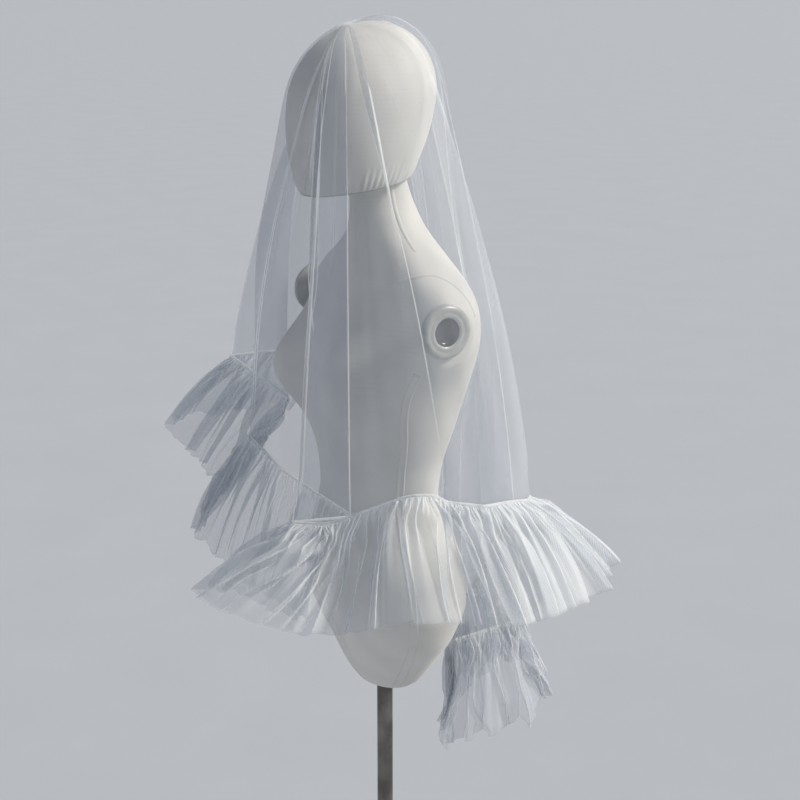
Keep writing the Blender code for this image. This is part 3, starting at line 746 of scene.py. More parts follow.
def tulle_material(name, colours, layer_cover, crest_cover):
    """Soft nylon tulle, knitted as an even net and heat set.

    One layer stops little light and is painted a cool grey as shade. Its folds read as bright
    lines where the threads crowd, partly as denser net and partly as painted highlight.
    The threads have a faint silky sheen.
    """
    made = material(name)
    cover = node(made, "ShaderNodeAttribute", attribute_name="cover")
    flat = node(made, "ShaderNodeUVMap", uv_map="flat")
    # The real net has cells of 1.2 mm, drawn 2.6 mm wide so that they show.
    scale = 2 * math.pi / (2.6 * MM)
    cells = node(made, "ShaderNodeMapping", [("Vector", flat, "UV")], Scale=(scale, scale, scale))
    apart = node(made, "ShaderNodeSeparateXYZ", [("Vector", cells, "Vector")])
    wales = node(made, "ShaderNodeMath", [(0, apart, "X")], operation="SINE")
    courses = node(made, "ShaderNodeMath", [(0, apart, "Y")], operation="SINE")
    holes = node(made, "ShaderNodeMath", [(0, wales, "Value"), (1, courses, "Value")], operation="MULTIPLY")
    net = node(
        made, "ShaderNodeMapRange", [("Value", holes, "Value")],
        **{"From Min": -1.0, "From Max": 1.0, "To Min": 1.11, "To Max": 0.89},
    )
    share = node(
        made, "ShaderNodeMapRange", [("Value", cover, "Fac")],
        **{"To Min": layer_cover, "To Max": crest_cover},
    )
    alpha = node(
        made, "ShaderNodeMath", [(0, share, "Result"), (1, net, "Result")],
        operation="MULTIPLY", use_clamp=True,
    )
    # One flat layer is painted cool grey as shade; where the threads crowd the tint turns white, a painted
    # highlight along the folds.
    white, grey = linear(colours.tulle), linear(colours.thin_tulle_shade)
    tint = ramp(made, cover, "Fac", [(0.0, grey), (0.35, white)])
    front = node(
        made, "ShaderNodeBsdfPrincipled", [("Base Color", tint, "Color")],
        **{"Roughness": 0.62, "Specular IOR Level": 0.35, "Sheen Weight": 0.35, "Sheen Roughness": 0.4},
    )
    through = node(made, "ShaderNodeBsdfTranslucent", [("Color", tint, "Color")])
    thread = node(made, "ShaderNodeMixShader", [(1, front, "BSDF"), (2, through, "BSDF")], Fac=0.42)
    clear = node(made, "ShaderNodeBsdfTransparent")
    mix = node(
        made, "ShaderNodeMixShader", [("Fac", alpha, "Value"), (1, clear, "BSDF"), (2, thread, "Shader")],
    )
    node(made, "ShaderNodeOutputMaterial", [("Surface", mix, "Shader")])
    return made


def seam_material():
    """Rolled seam of tulle and polyester thread: dense, soft and nearly opaque."""
    made = material("stitched_tulle_seam")
    place = node(made, "ShaderNodeTexCoord")
    # Stitches are about 2.5 mm long.
    stitches = node(
        made, "ShaderNodeTexNoise", [("Vector", place, "Object")], Scale=1 / (2.5 * MM), Detail=2.0,
    )
    tint = ramp(made, stitches, "Fac", [(0.35, linear("E3E7EA")), (0.65, linear("FCFDFD"))])
    bump = node(made, "ShaderNodeBump", [("Height", stitches, "Fac")], Strength=0.5, Distance=0.4 * MM)
    cloth = node(
        made, "ShaderNodeBsdfPrincipled",
        [("Base Color", tint, "Color"), ("Normal", bump, "Normal")],
        **{"Roughness": 0.7, "Sheen Weight": 0.2},
    )
    through = node(made, "ShaderNodeBsdfTranslucent", [("Color", tint, "Color")])
    thread = node(made, "ShaderNodeMixShader", [(1, cloth, "BSDF"), (2, through, "BSDF")], Fac=0.45)
    clear = node(made, "ShaderNodeBsdfTransparent")
    mix = node(made, "ShaderNodeMixShader", [(1, clear, "BSDF"), (2, thread, "Shader")], Fac=0.72)
    node(made, "ShaderNodeOutputMaterial", [("Surface", mix, "Shader")])
    return made


def jersey_material(name, hex_colour):
    """Bleached cotton jersey stretched over a padded form: matt, with fine knit ribs."""
    made = material(name)
    place = node(made, "ShaderNodeTexCoord")
    # Knit ribs are 1.4 mm apart, drawn 5.5 mm apart so that they show. A wave texture
    # of scale 1 turns 20 radians in a metre.
    ribs = node(
        made, "ShaderNodeTexWave", [("Vector", place, "Object")],
        wave_type="BANDS", bands_direction="Z", Scale=2 * math.pi / (20 * 5.5 * MM), Distortion=1.2,
    )
    mottle = node(made, "ShaderNodeTexNoise", [("Vector", place, "Object")], Scale=14.0, Detail=4.0)
    base = linear(hex_colour)
    shade = tuple(c * 0.86 for c in base[:3]) + (1.0,)
    tint = ramp(made, mottle, "Fac", [(0.3, shade), (0.7, base)])
    fuzz = node(made, "ShaderNodeTexNoise", [("Vector", place, "Object")], Scale=1 / (1.8 * MM), Detail=3.0)
    low = node(made, "ShaderNodeBump", [("Height", ribs, "Fac")], Strength=0.18, Distance=0.3 * MM)
    fine = node(
        made, "ShaderNodeBump", [("Height", fuzz, "Fac"), ("Normal", low, "Normal")],
        Strength=0.3, Distance=0.3 * MM,
    )
    cloth = node(
        made, "ShaderNodeBsdfPrincipled",
        [("Base Color", tint, "Color"), ("Normal", fine, "Normal")],
        **{"Roughness": 0.88, "Sheen Weight": 0.25, "Sheen Roughness": 0.5, "Specular IOR Level": 0.2},
    )
    node(made, "ShaderNodeOutputMaterial", [("Surface", cloth, "BSDF")])
    return made


def plastic_material(name, hex_colour, roughness):
    """Moulded polystyrene: smooth, a little cloudy, with soft highlights."""
    made = material(name)
    place = node(made, "ShaderNodeTexCoord")
    cloud = node(made, "ShaderNodeTexNoise", [("Vector", place, "Object")], Scale=60.0, Detail=3.0)
    base = linear(hex_colour)
    shade = tuple(c * 0.8 for c in base[:3]) + (1.0,)
    tint = ramp(made, cloud, "Fac", [(0.35, shade), (0.65, base)])
    rough = node(
        made, "ShaderNodeMapRange", [("Value", cloud, "Fac")],
        **{"To Min": roughness - 0.06, "To Max": roughness + 0.08},
    )
    body = node(
        made, "ShaderNodeBsdfPrincipled",
        [("Base Color", tint, "Color"), ("Roughness", rough, "Result")],
        **{"IOR": 1.59, "Coat Weight": 0.25, "Coat Roughness": 0.15},
    )
    node(made, "ShaderNodeOutputMaterial", [("Surface", body, "BSDF")])
    return made


def steel_material(name, hex_colour, roughness):
    """Drawn steel tube, nickel plated and worn dull: fine lines run along it."""
    made = material(name)
    place = node(made, "ShaderNodeTexCoord")
    stretch = node(made, "ShaderNodeMapping", [("Vector", place, "Object")], Scale=(1.0, 1.0, 0.03))
    lines = node(
        made, "ShaderNodeTexNoise", [("Vector", stretch, "Vector")], Scale=1 / (1.2 * MM), Detail=3.0,
    )
    stains = node(made, "ShaderNodeTexNoise", [("Vector", place, "Object")], Scale=22.0, Detail=5.0)
    base = linear(hex_colour)
    dull = tuple(c * 0.55 for c in base[:3]) + (1.0,)
    tint = ramp(made, stains, "Fac", [(0.38, dull), (0.62, base)])
    rough = node(
        made, "ShaderNodeMapRange", [("Value", stains, "Fac")],
        **{"To Min": roughness + 0.15, "To Max": roughness - 0.1},
    )
    bump = node(made, "ShaderNodeBump", [("Height", lines, "Fac")], Strength=0.12, Distance=0.1 * MM)
    body = node(
        made, "ShaderNodeBsdfPrincipled",
        [("Base Color", tint, "Color"), ("Roughness", rough, "Result"), ("Normal", bump, "Normal")],
        Metallic=1.0,
    )
    node(made, "ShaderNodeOutputMaterial", [("Surface", body, "BSDF")])
    return made


def floor_material(hex_colour):
    """Painted studio floor: matt, with a hardly visible mottle."""
    made = material("painted_floor")
    place = node(made, "ShaderNodeTexCoord")
    mottle = node(made, "ShaderNodeTexNoise", [("Vector", place, "Object")], Scale=3.0, Detail=3.0)
    base = linear(hex_colour)
    shade = tuple(c * 0.97 for c in base[:3]) + (1.0,)
    tint = ramp(made, mottle, "Fac", [(0.3, shade), (0.7, base)])
    paint = node(made, "ShaderNodeBsdfPrincipled", [("Base Color", tint, "Color")], Roughness=0.95)
    node(made, "ShaderNodeOutputMaterial", [("Surface", paint, "BSDF")])
    return made


# ---------------------------------------------------------------- the panel
def edge_points(reach):
    """The panel's edge: x, y, height, lift and flare of each point.

    The second result gives the point that stands for each row of HEM.
    """
    rows = [
        (kind, np.array((*plan(bearing, radius), height, lift, math.radians(flare))))
        for kind, bearing, radius, height, lift, flare in HEM
    ]
    points, marks = [], []
    for i, (kind, here) in enumerate(rows):
        before, after = rows[i - 1][1], rows[(i + 1) % len(rows)][1]
        if kind == "wall":
            marks.append(len(points))
            points.append(here)
        else:
            left = towards(here, before, reach)
            right = towards(here, after, reach)
            marks.append(len(points) + 1)
            points += [left, (left + 2 * here + right) / 4, right]
    return np.array(points), marks


def edge_lengths(points):
    """The closed edge and the length along it at each of its points."""
    closed = np.concatenate([points, points[:1]])
    sides = np.linalg.norm(np.diff(closed[:, :3], axis=0), axis=1)
    return closed, np.concatenate(([0.0], np.cumsum(sides)))


def edge_table():
    """The edge in small even steps, its length, and the place of each row of HEM."""
    points, marks = edge_points(CREASE_TIGHT)
    closed, lengths = edge_lengths(points)
    whole = lengths[-1]
    at = np.linspace(0, whole, int(round(whole / EDGE_STEP)), endpoint=False)
    table = np.stack([np.interp(at, lengths, column) for column in closed.T], axis=1)
    places = np.append(lengths[marks], whole + lengths[marks[0]])
    rounded, length = SOFT_REACH
    soft = np.zeros(len(table))
    for row in SOFT_ROWS:
        soft = np.maximum(soft, np.exp(-(((at - places[row]) / length) ** 2)))
    table = blur(table, CREASE_SOFT / EDGE_STEP)
    table += (blur(table, rounded / EDGE_STEP) - table) * soft[:, None]
    for row in SWAY:
        table[:, :3] += swayed(row, at, places, whole)[:, None] * np.array(row[2])
    return table, whole, places


def swayed(row, at, places, whole):
    """How much of a row of SWAY applies at places along the edge."""
    start, end = place_of(row[0], places, whole), place_of(row[1], places, whole)
    return np.sin(math.pi * np.clip((at - start) / (end - start), 0, 1)) ** 1.2


def bunched(at, places, whole, column):
    """Extra cover at places along the edge; column 2 is the panel's and 3 the ruffle's."""
    extra = np.zeros(len(at))
    for row in BUNCHED:
        start, end = place_of(row[0], places, whole), place_of(row[1], places, whole)
        soft = 0.25 * (end - start)
        inside = smoothstep(start - soft, start + soft, at) * smoothstep(end + soft, end - soft, at)
        extra = np.maximum(extra, row[column] * inside)
    return extra


def place_of(row, places, whole):
    """Place along the edge of a row of HEM, or of a share of the way past one."""
    low = int(row)
    start, end = places[low], places[low + 1]
    if end < start:
        end += whole
    return (start + (end - start) * (row - low)) % whole


def over_head(direction, clear):
    """Where a thread from the peak rests on the head: points in a plane of one direction."""
    height = HEAD_CENTRE_Z + (HEAD_UP + clear) * np.cos(np.linspace(*HEAD_SWEEP))
    width, depth, middle = head_section(height, clear)
    from_x, from_y = PEAK[0] / width, (PEAK[1] - middle) / depth
    to_x, to_y = direction[0] / width, direction[1] / depth
    square = to_x * to_x + to_y * to_y
    half = from_x * to_x + from_y * to_y
    under = half * half - square * (from_x * from_x + from_y * from_y - 1.0)
    run = (np.sqrt(np.maximum(under, 0.0)) - half) / square
    beyond_peak = 0.002
    on = (under > 0) & (run > beyond_peak)
    return np.column_stack([PEAK + direction * run[on, None], height[on]])


def threads(edge, lift, turned, shares):
    """Threads of the panel from the peak to points of its edge: over the head, then straight."""
    lines = np.empty((len(edge), len(shares), 3))
    for i, (place, up, turn) in enumerate(zip(edge, lift, turned)):
        clear = HEAD_CLEAR + up
        away = place[:2] - PEAK
        x, y = direction = away / np.linalg.norm(away)
        cos, sin = math.cos(turn), math.sin(turn)
        surface = over_head(np.array((x * cos - y * sin, x * sin + y * cos)), clear)
        left = np.hypot(*(place[:2] - surface[:, :2]).T)
        leave = int(np.argmax(np.arctan2(surface[:, 2] - place[2], left)))
        top = [(*PEAK, peak_height(clear))]
        line = np.concatenate([top, surface[: leave + 1], [place]])
        along = np.concatenate(([0.0], np.cumsum(np.linalg.norm(np.diff(line, axis=0), axis=1))))
        want = shares * along[-1]
        hanging = np.maximum(0.0, (want - along[-2]) / (along[-1] - along[-2]))
        for axis in range(3):
            lines[i, :, axis] = np.interp(want, along, line[:, axis])
        lines[i, :, :2] += direction * (BOW * np.sin(math.pi * hanging))[:, None]
        lines[i, :-1] = push_off_head(push_off_torso(lines[i, :-1], FORM_CLEAR + up), clear)
    for _ in range(6):
        lines[:, 1:-1] = 0.5 * lines[:, 1:-1] + 0.25 * (lines[:, 2:] + lines[:, :-2])
    return lines


@functools.cache
def peak_height(clear):
    """Height of the cloth at the peak."""
    heights = np.linspace(HEAD_CENTRE_Z, HEAD_CENTRE_Z + HEAD_UP + clear, 4001)
    _, depth, middle = head_section(heights, clear)
    return heights[np.abs(PEAK[1] - middle) < depth].max()


def plain_threads(start, end, need, whole):
    """Columns of the threads of plain cloth, closer together where it turns."""
    fine = np.arange(start, end, EDGE_STEP)
    if len(fine) < 2:
        return []
    density = need[(fine / whole * len(need)).astype(int) % len(need)] * EDGE_STEP
    total = np.concatenate(([0.0], np.cumsum(density)))[:-1]
    count = max(1, int(round(total[-1])))
    places = np.interp(np.arange(1, count) / count * total[-1], total, fine)
    return [(at, 0.0, at, 0.0, 1.0) for at in places]


def fold_path(half, gap):
    """A doubled fold in plan: under, round its tip, back, round its heel and over.

    Its rows are the distance along the edge from the fold's middle and outward from it.
    """
    far = 2 * half + FOLD_RAMP
    share = np.arange(FOLD_FACE_POINTS + 1) / FOLD_FACE_POINTS
    rise = gap * smoothstep(0, 1, share)
    bend = np.radians(np.linspace(-90, 90, FOLD_BEND_POINTS))
    under = np.stack([-half - FOLD_RAMP + share * far, -rise], axis=1)[:-1]
    tip = np.stack([half + gap / 2 * np.cos(bend), gap / 2 * (np.sin(bend) - 1)], axis=1)
    heel = np.stack([-half - gap / 2 * np.cos(bend), gap / 2 * (np.sin(bend) + 1)], axis=1)
    over = np.stack([-half + share * far, gap - rise], axis=1)[1:]
    return np.concatenate([under, tip, [(0.0, 0.0)], heel, over])


def panel_columns(table, whole, places):
    """Every thread of the panel.

    Its columns are the place on the edge and how far out it lies where the folds are
    closed, its place where they are open, and the shares of the thread where its fold
    starts and ends.
    """
    bend = np.roll(table[:, :2], -2, axis=0) + np.roll(table[:, :2], 2, axis=0) - 2 * table[:, :2]
    turn = blur(np.linalg.norm(bend, axis=1) / (2 * EDGE_STEP) ** 2, 3.0)
    need = 1 / WALL_STEP + np.maximum(turn - GENTLE_TURN, 0.0) / TURN_STEP
    folds = sorted((place_of(f[0], places, whole), *f[1:]) for f in FOLDS)
    first = folds[0][0] - folds[0][1] * MM / 2 - FOLD_RAMP
    rows, last = [], first
    for place, width, gap, begin, end, side in folds:
        half = width * MM / 2
        enter, leave = place - half - FOLD_RAMP, place + half + FOLD_RAMP
        rows += plain_threads(last, enter, need, whole)
        path = fold_path(half, gap * MM)
        if side < 0:
            path = path[::-1] * (-1, 1)
        steps = np.concatenate(([0.0], np.cumsum(np.hypot(*np.diff(path, axis=0).T))))
        opened = enter + (leave - enter) * steps / steps[-1]
        rows += [(place + across, out, at, begin, end) for (across, out), at in zip(path, opened)]
        last = leave
    rows += plain_threads(last, first + whole, need, whole)
    return np.array(rows)


def panel_surface(table, whole, places):
    """The panel's threads, the place of each along the edge, and the shares of its points."""
    shut_at, out, open_at, begin, end = panel_columns(table, whole, places).T
    curve_out = unit(blur(outward(table[:, :2]), OUT_SOFT / EDGE_STEP))
    shares = np.linspace(0.0, 1.0, PANEL_RINGS + 1)[1:] ** RING_SPREAD

    opened, closed = sample(table, open_at, whole), sample(table, shut_at, whole)
    closed[:, :2] += sample(curve_out, shut_at, whole) * out[:, None]
    lift, doubled = FOLD_LIFT
    closed[:, 3] += lift * (1 + out / doubled) * (begin > 0)
    rows, degrees = np.array(HEAD_TURNS).T
    rows = np.interp(rows, np.arange(len(places)), places)
    turned = np.radians(np.interp(open_at % whole, rows, degrees, period=whole))
    open_lines = threads(opened[:, :3], opened[:, 3], turned, shares)
    shut_lines = threads(closed[:, :3], closed[:, 3], turned, shares)

    begin, end = begin[:, None], end[:, None]
    shut = smoothstep(begin, begin + FOLD_CLOSES, shares)
    shut = shut * smoothstep(np.minimum(end + FOLD_OPENS / 2, 1.0), end - FOLD_OPENS / 2, shares)
    lines = open_lines + (shut_lines - open_lines) * shut[..., None]
    lift = opened[:, 3:4] + (closed[:, 3:4] - opened[:, 3:4]) * shut
    lines[..., 2] -= lift * (1 - smoothstep(0.0, 0.07, shares))

    swell = np.zeros(len(open_at))
    for length, height, phase in SWELLS:
        turns = 2 * math.pi * round(whole / length) * open_at / whole
        swell += height * np.sin(turns + phase + np.sin(open_at * SWELL_WANDER))
    low, full, gone, fading = SWELL_SHARES
    window = smoothstep(low, full, shares) * smoothstep(gone, fading, shares)
    push = swell[:, None] * window
    lines[..., :2] += sample(curve_out, open_at, whole)[:, None, :] * push[..., None]
    return lines, open_at, shares


def crowding(lines, radius):
    """How much the net crowds at each point: 1 where a fold is tighter than radius."""
    ahead = np.roll(lines, -1, axis=0) - lines
    length = np.linalg.norm(ahead, axis=-1) + 1e-9
    direction = ahead / length[..., None]
    before = np.roll(direction, 1, axis=0)
    turn = np.arccos(np.clip((direction * before).sum(axis=-1), -1, 1))
    tight = turn / (0.5 * (length + np.roll(length, 1, axis=0)))
    return np.clip(tight * radius - 0.10, 0.0, 1.0)


def panel_cover(lines, at, places, whole, shares):
    """How dense the net reads at each point of the panel: at folds, bunches and the peak. The same value
    paints the net whiter there as highlight.
    """
    bunch = bunched(at % whole, places, whole, 2)[:, None] * smoothstep(0.08, 0.3, shares)
    cover = np.maximum(crowding(lines, PANEL_CREASE), bunch) * smoothstep(0.02, 0.16, shares)
    return np.maximum(cover, PEAK_COVER * (1 - smoothstep(0.0, 0.035, shares)))


def panel_cut(lines, tip):
    """Where the panel's points lie on its flat cut, round the peak."""
    ends = np.concatenate([lines[:, -1], lines[:1, -1]])
    along = np.concatenate(([0.0], np.cumsum(np.linalg.norm(np.diff(ends, axis=0), axis=1))))
    first = np.linalg.norm(lines[:, :1] - tip, axis=-1)
    steps = np.linalg.norm(np.diff(lines, axis=1), axis=-1)
    reach = np.concatenate([first, steps], axis=1).cumsum(axis=1)
    angle = (2 * math.pi * along[:-1] / along[-1])[:, None]
    return np.stack([reach * np.sin(angle), reach * np.cos(angle)], axis=-1)


def fan_faces(count, steps):
    """Faces from a tip over rings of count points, of which ring k has every steps[k]-th."""
    first = count // steps[0]
    faces = [(0, 1 + i, 1 + (i + 1) % first) for i in range(first)]
    a = 1
    for step, after in zip(steps, steps[1:]):
        many, more = count // step, count // after
        b = a + many
        for i in range(many):
            j = (i + 1) % many
            if many == more:
                faces.append((a + i, b + i, b + j, a + j))
            else:
                left, mid, right = 2 * i, 2 * i + 1, (2 * i + 2) % more
                faces += [(a + i, b + left, b + mid), (a + i, b + mid, a + j), (a + j, b + mid, b + right)]
        a = b
    return faces


def build_panel(context):
    """The panel's net, as one fan of threads from the peak."""
    table, whole, places = edge_table()
    lines, at, shares = panel_surface(table, whole, places)
    tip = np.array((*PEAK, peak_height(HEAD_CLEAR)))
    cover, flat = panel_cover(lines, at, places, whole, shares), panel_cut(lines, tip)

    # Near the peak every fourth thread is enough, then every second one.
    count = len(lines) - len(lines) % 4
    steps = [next((n for up_to, n in SPARSE_RINGS if share < up_to), 1) for share in shares]
    points, covers, flats = [tip[None]], [np.array([PEAK_COVER])], [np.zeros((1, 2))]
    for ring, step in enumerate(steps):
        pick = np.arange(0, count, step)
        points.append(lines[pick, ring])
        covers.append(cover[pick, ring])
        flats.append(flat[pick, ring])
    panel = shell(
        "veil_panel", np.concatenate(points), fan_faces(count, steps), CLOTH_SHELL,
        np.concatenate(covers), np.concatenate(flats),
    )
    colours = context.scene.veil_colours
    net = tulle_material("soft_nylon_tulle", colours, wall_share(context), PANEL_CREST_COVER)
    panel.data.materials.append(net)
    return panel


def wall_share(context):
    """Cover of each of the two walls of a shell that together stop the light of one layer."""
    return 1 - math.sqrt(1 - context.scene.veil_colours.opacity)


# ---------------------------------------------------------------- the ruffle
def least_nearby(values):
    """The least of each value and of its three neighbours on both sides."""
    return np.minimum.reduce([np.roll(values, k, axis=0) for k in range(-3, 4)])


def even_spacing(curve, passes):
    """A closed curve with its points spaced more evenly along it."""
    closed = np.concatenate([curve, curve[:1]])
    lengths = np.concatenate(([0.0], np.cumsum(np.linalg.norm(np.diff(closed, axis=0), axis=1))))
    whole = lengths[-1]
    wanted = lengths[:-1].copy()
    for _ in range(passes):
        ahead = np.append(wanted[1:], wanted[0] + whole)
        behind = np.insert(wanted[:-1], 0, wanted[-1] - whole)
        wanted = 0.5 * wanted + 0.25 * (ahead + behind)
    return np.stack([np.interp(wanted % whole, lengths, closed[:, i]) for i in range(2)], axis=1)


def point_spacing(curve):
    """Half the distance between each point's two neighbours."""
    return np.linalg.norm(np.roll(curve, -1, axis=0) - np.roll(curve, 1, axis=0), axis=1) / 2


def openness(curve):
    """1 where a curve runs straight or turns outward, down to 0 deep in a valley."""
    middle = 0.5 * (np.roll(curve, -4, axis=0) + np.roll(curve, 4, axis=0))
    hollow = ((middle - curve) * outward(curve)).sum(axis=1)
    return least_nearby(np.clip(1 - 2.2 * hollow / (4 * point_spacing(curve)), 0.0, 1.0))


def room_ahead(curve, normal):
    """How far each point can move along its normal before it meets the curve again."""
    count = len(curve)
    side = np.roll(curve, -1, axis=0) - curve
    across = curve[None, :, :] - curve[:, None, :]
    turn = normal[:, None, 0] * side[None, :, 1] - normal[:, None, 1] * side[None, :, 0]
    turn = np.where(np.abs(turn) < 1e-12, 1e-12, turn)
    ahead = (across[..., 0] * side[None, :, 1] - across[..., 1] * side[None, :, 0]) / turn
    share = (across[..., 0] * normal[:, None, 1] - across[..., 1] * normal[:, None, 0]) / turn
    apart = np.abs(np.arange(count)[:, None] - np.arange(count)[None, :])
    apart = np.minimum(apart, count - apart)
    hit = (ahead > 0) & (share >= -0.05) & (share <= 1.05) & (apart > 2)
    return np.where(hit, ahead, 1.0).min(axis=1)


def ruffle_middle(width):
    """The ruffle's middle surface as in the frame, with the free space at each point."""
    points, marks = edge_points(CREASE_REACH)
    closed, lengths = edge_lengths(points)
    wanted = np.linspace(0.0, lengths[-1], COARSE, endpoint=False)
    seam = np.stack([np.interp(wanted, lengths, column) for column in closed.T], axis=1)
    seam[:, 2] -= SEAM_DROP
    flare, curve, height = seam[:, 4], seam[:, :2].copy(), seam[:, 2].copy()
    rows, rooms, opens = [seam[:, :3].copy()], [np.full(COARSE, SEAM_ROOM)], [openness(curve)]
    step = width / FLARE_STEPS
    even = point_spacing(curve).mean()
    for n in range(1, FLARE_STEPS + 1):
        normal = outward(curve)
        room = least_nearby(room_ahead(curve, normal))
        free = np.maximum(0.0, (room - RUFFLE_MARGIN) / 4)
        turn = FLARE_TURN[0] - FLARE_TURN[1] * n / FLARE_STEPS
        reach = np.minimum(step * np.sin(np.minimum(flare * turn, math.pi / 2)), free)
        moved = curve + normal * reach[:, None]
        for _ in range(3):
            near = 0.5 * (np.roll(moved, 1, axis=0) + np.roll(moved, -1, axis=0))
            crowded = np.clip(1.3 - point_spacing(moved) / even, 0.0, 0.5)
            moved = moved + (near - moved) * crowded[:, None]
        moved = even_spacing(moved, passes=7)
        run = np.linalg.norm(moved - curve, axis=1)
        fall = np.sqrt(np.maximum(step * step - run * run, (LEAST_FALL * step) ** 2))
        for _ in range(2):
            fall = 0.5 * fall + 0.25 * (np.roll(fall, 1) + np.roll(fall, -1))
        height = height - fall
        curve = moved
        rows.append(np.column_stack([curve, height]))
        rooms.append(room)
        opens.append(openness(curve))
    places = np.append(lengths[marks], lengths[-1] + lengths[marks[0]])
    return np.stack(rows, axis=1), np.stack(rooms, axis=1), np.stack(opens, axis=1), places


def uneven_phase(count, waves, random, spread):
    """A phase that grows by one turn for each wave, with waves of uneven width."""
    widths = np.exp(spread * random.standard_normal(waves))
    ends = np.concatenate(([0.0], np.cumsum(widths)))
    ends *= count / ends[-1]
    phase = np.interp(np.arange(count), ends, np.arange(waves + 1) * 2 * math.pi)
    drift = phase - 2 * math.pi * waves * np.arange(count) / count
    return blur(drift, count / waves * 0.22) + 2 * math.pi * waves * np.arange(count) / count


def slow_noise(count, waves, random):
    """Smooth closed noise with a size of about 1."""
    knots = random.standard_normal(waves)
    at = np.arange(count) / count * waves
    low = np.floor(at).astype(int) % waves
    share = at - np.floor(at)
    share = share * share * (3 - 2 * share)
    return knots[low] * (1 - share) + knots[(low + 1) % waves] * share


def creased(turns, sharp):
    """A wave with flat sides and sharp folds."""
    return np.tanh(sharp * np.cos(turns)) / math.tanh(sharp)


def overlapped(turns, share, sharp):
    """The turning of flutes that lap over each other: a long face, then a short way back."""
    pulse = 0.5 + 0.5 * np.tanh(sharp * (np.cos(turns) - np.cos(math.pi * share)))
    return 2.0 * (pulse - share)


def place_along(line, coarse_places, places):
    """The place along the panel's edge of a gather line of the middle surface."""
    whole = coarse_places[-1] - coarse_places[0]
    steps = (line / COARSE * whole - coarse_places[0]) % whole
    return np.interp(steps, coarse_places - coarse_places[0], places - places[0]) + places[0]


def gather_lines(middle, coarse_places, places, whole):
    """Where the mesh's lines lie on the middle surface: closer where there is more cloth."""
    spans = np.linalg.norm(np.roll(middle, -1, axis=0) - middle, axis=-1)
    needed = blur(spans[:, 0] + EXTRA_CLOTH * spans[:, -1], 2.0)
    here = place_along(np.arange(COARSE), coarse_places, places) % whole
    needed *= 1 + TAIL_CLOTH * swayed(TAIL, here, places, whole)
    needed = np.concatenate(([0.0], np.cumsum(needed)))
    count = STRETCHES * LINES_PER_STRETCH
    return np.interp(np.arange(count) / count * needed[-1], needed, np.arange(COARSE + 1))


def refine(values, at, shares):
    """Values of the middle surface at every line and row of the mesh."""
    flat = sample(blur(values, 0.8), at, COARSE).reshape(len(at), FLARE_STEPS + 1, -1)
    place = shares * FLARE_STEPS
    low = np.minimum(place.astype(int), FLARE_STEPS - 1)
    share = (place - low)[None, :, None]
    out = flat[:, low] * (1 - share) + flat[:, low + 1] * share
    return out if values.ndim == 3 else out[..., 0]


def sewn_on(surface, shares, here, table, whole, places):
    """The ruffle's middle surface, swayed and brought to the panel's edge at its seam."""
    sewn = sample(table, here, whole)[:, :3]
    edge_out = unit(blur(outward(table[:, :2]), OUT_SOFT / EDGE_STEP))
    outside, below = RUFFLE_SEWN
    sewn[:, :2] += sample(edge_out, here, whole) * outside
    sewn[:, 2] -= below
    down = shares[None, :, None]
    for row in SWAY:
        weight = swayed(row, here % whole, places, whole)[:, None, None]
        at_seam, at_cut = np.array(row[2]), np.array(row[3])
        surface += weight * (at_seam + down ** 1.3 * (at_cut - at_seam))
    gap = sewn - surface[:, 0]
    return surface + gap[:, None, :] * (1 - smoothstep(0.0, 0.45, down))


def surface_directions(surface, shares):
    """Unit vectors along the ruffle and out of it, and the width from line to line."""
    along = np.roll(surface, -1, axis=0) - np.roll(surface, 1, axis=0)
    span = blur(np.linalg.norm(along, axis=-1) / 2, 8.0)
    normal = unit(np.cross(unit(along), unit(np.gradient(surface, axis=1))))
    side = unit(np.stack([along[..., 1], -along[..., 0]], axis=-1))
    flip = np.sign((normal[..., :2] * side).sum(axis=-1))[..., None]
    normal = blur(normal * np.where(flip == 0, 1, flip), 6.0)
    # Folds stand out level at the seam and less so at the cut edge.
    normal[..., 2] *= 0.7 * smoothstep(0.0, 0.2, shares)
    return unit(blur(along, 6.0)), unit(normal), span


def flute_turns(random, flutes, count, cloth, shares):
    """How the big flutes, the middle waves and the fine gathers turn the cloth, not yet scaled."""
    big = uneven_phase(count, flutes, random, 0.48)
    # A few waves more than whole multiples, so that the sizes don't line up.
    mid = uneven_phase(count, 2 * flutes + 9, random, 0.25)
    fine = uneven_phase(count, 6 * flutes + 4, random, 0.25)
    # Crests slant along the seam on their way down, one by one and in groups of five.
    slant = 1.8 * slow_noise(count, flutes, random)
    slant = slant + 4.2 * slow_noise(count, flutes // 5, random)
    slant_mid = 1.6 * slow_noise(count, 2 * flutes, random) + slant
    loud = 1.0 + 0.30 * slow_noise(count, 2 * flutes, random)
    # Three flutes in a row lap the same way. Their short way back takes about a quarter of them.
    lean = np.repeat(np.sign(random.standard_normal(flutes)), 3)[:flutes]
    lean = blur(lean[(np.floor((big + math.pi) / (2 * math.pi)).astype(int)) % flutes], 2.0)
    lap = np.clip(0.27 + 0.07 * slow_noise(count, flutes, random), 0.18, 0.42)[:, None]
    # A crease is about as wide in a wide flute as in a narrow one.
    wave = 2 * math.pi / np.maximum(np.gradient(big), 1e-4) * cloth
    sharp = np.clip(wave / CREASE_WIDTH / 2.4, 5.0, 40.0)[:, None]

    knots, *weights = np.array(WAVES).T
    big_share, mid_share, fine_share = (np.interp(shares, knots, row) for row in weights)
    turns = big[:, None] + slant[:, None] * (shares - 0.2)
    big_part = overlapped(turns, lap, sharp) * lean[:, None] * big_share * loud[:, None]
    mid_part = creased(mid[:, None] + slant_mid[:, None] * shares, 4.0) * mid_share
    fine_part = np.cos(fine)[:, None] * fine_share
    return big_part, mid_part, fine_part


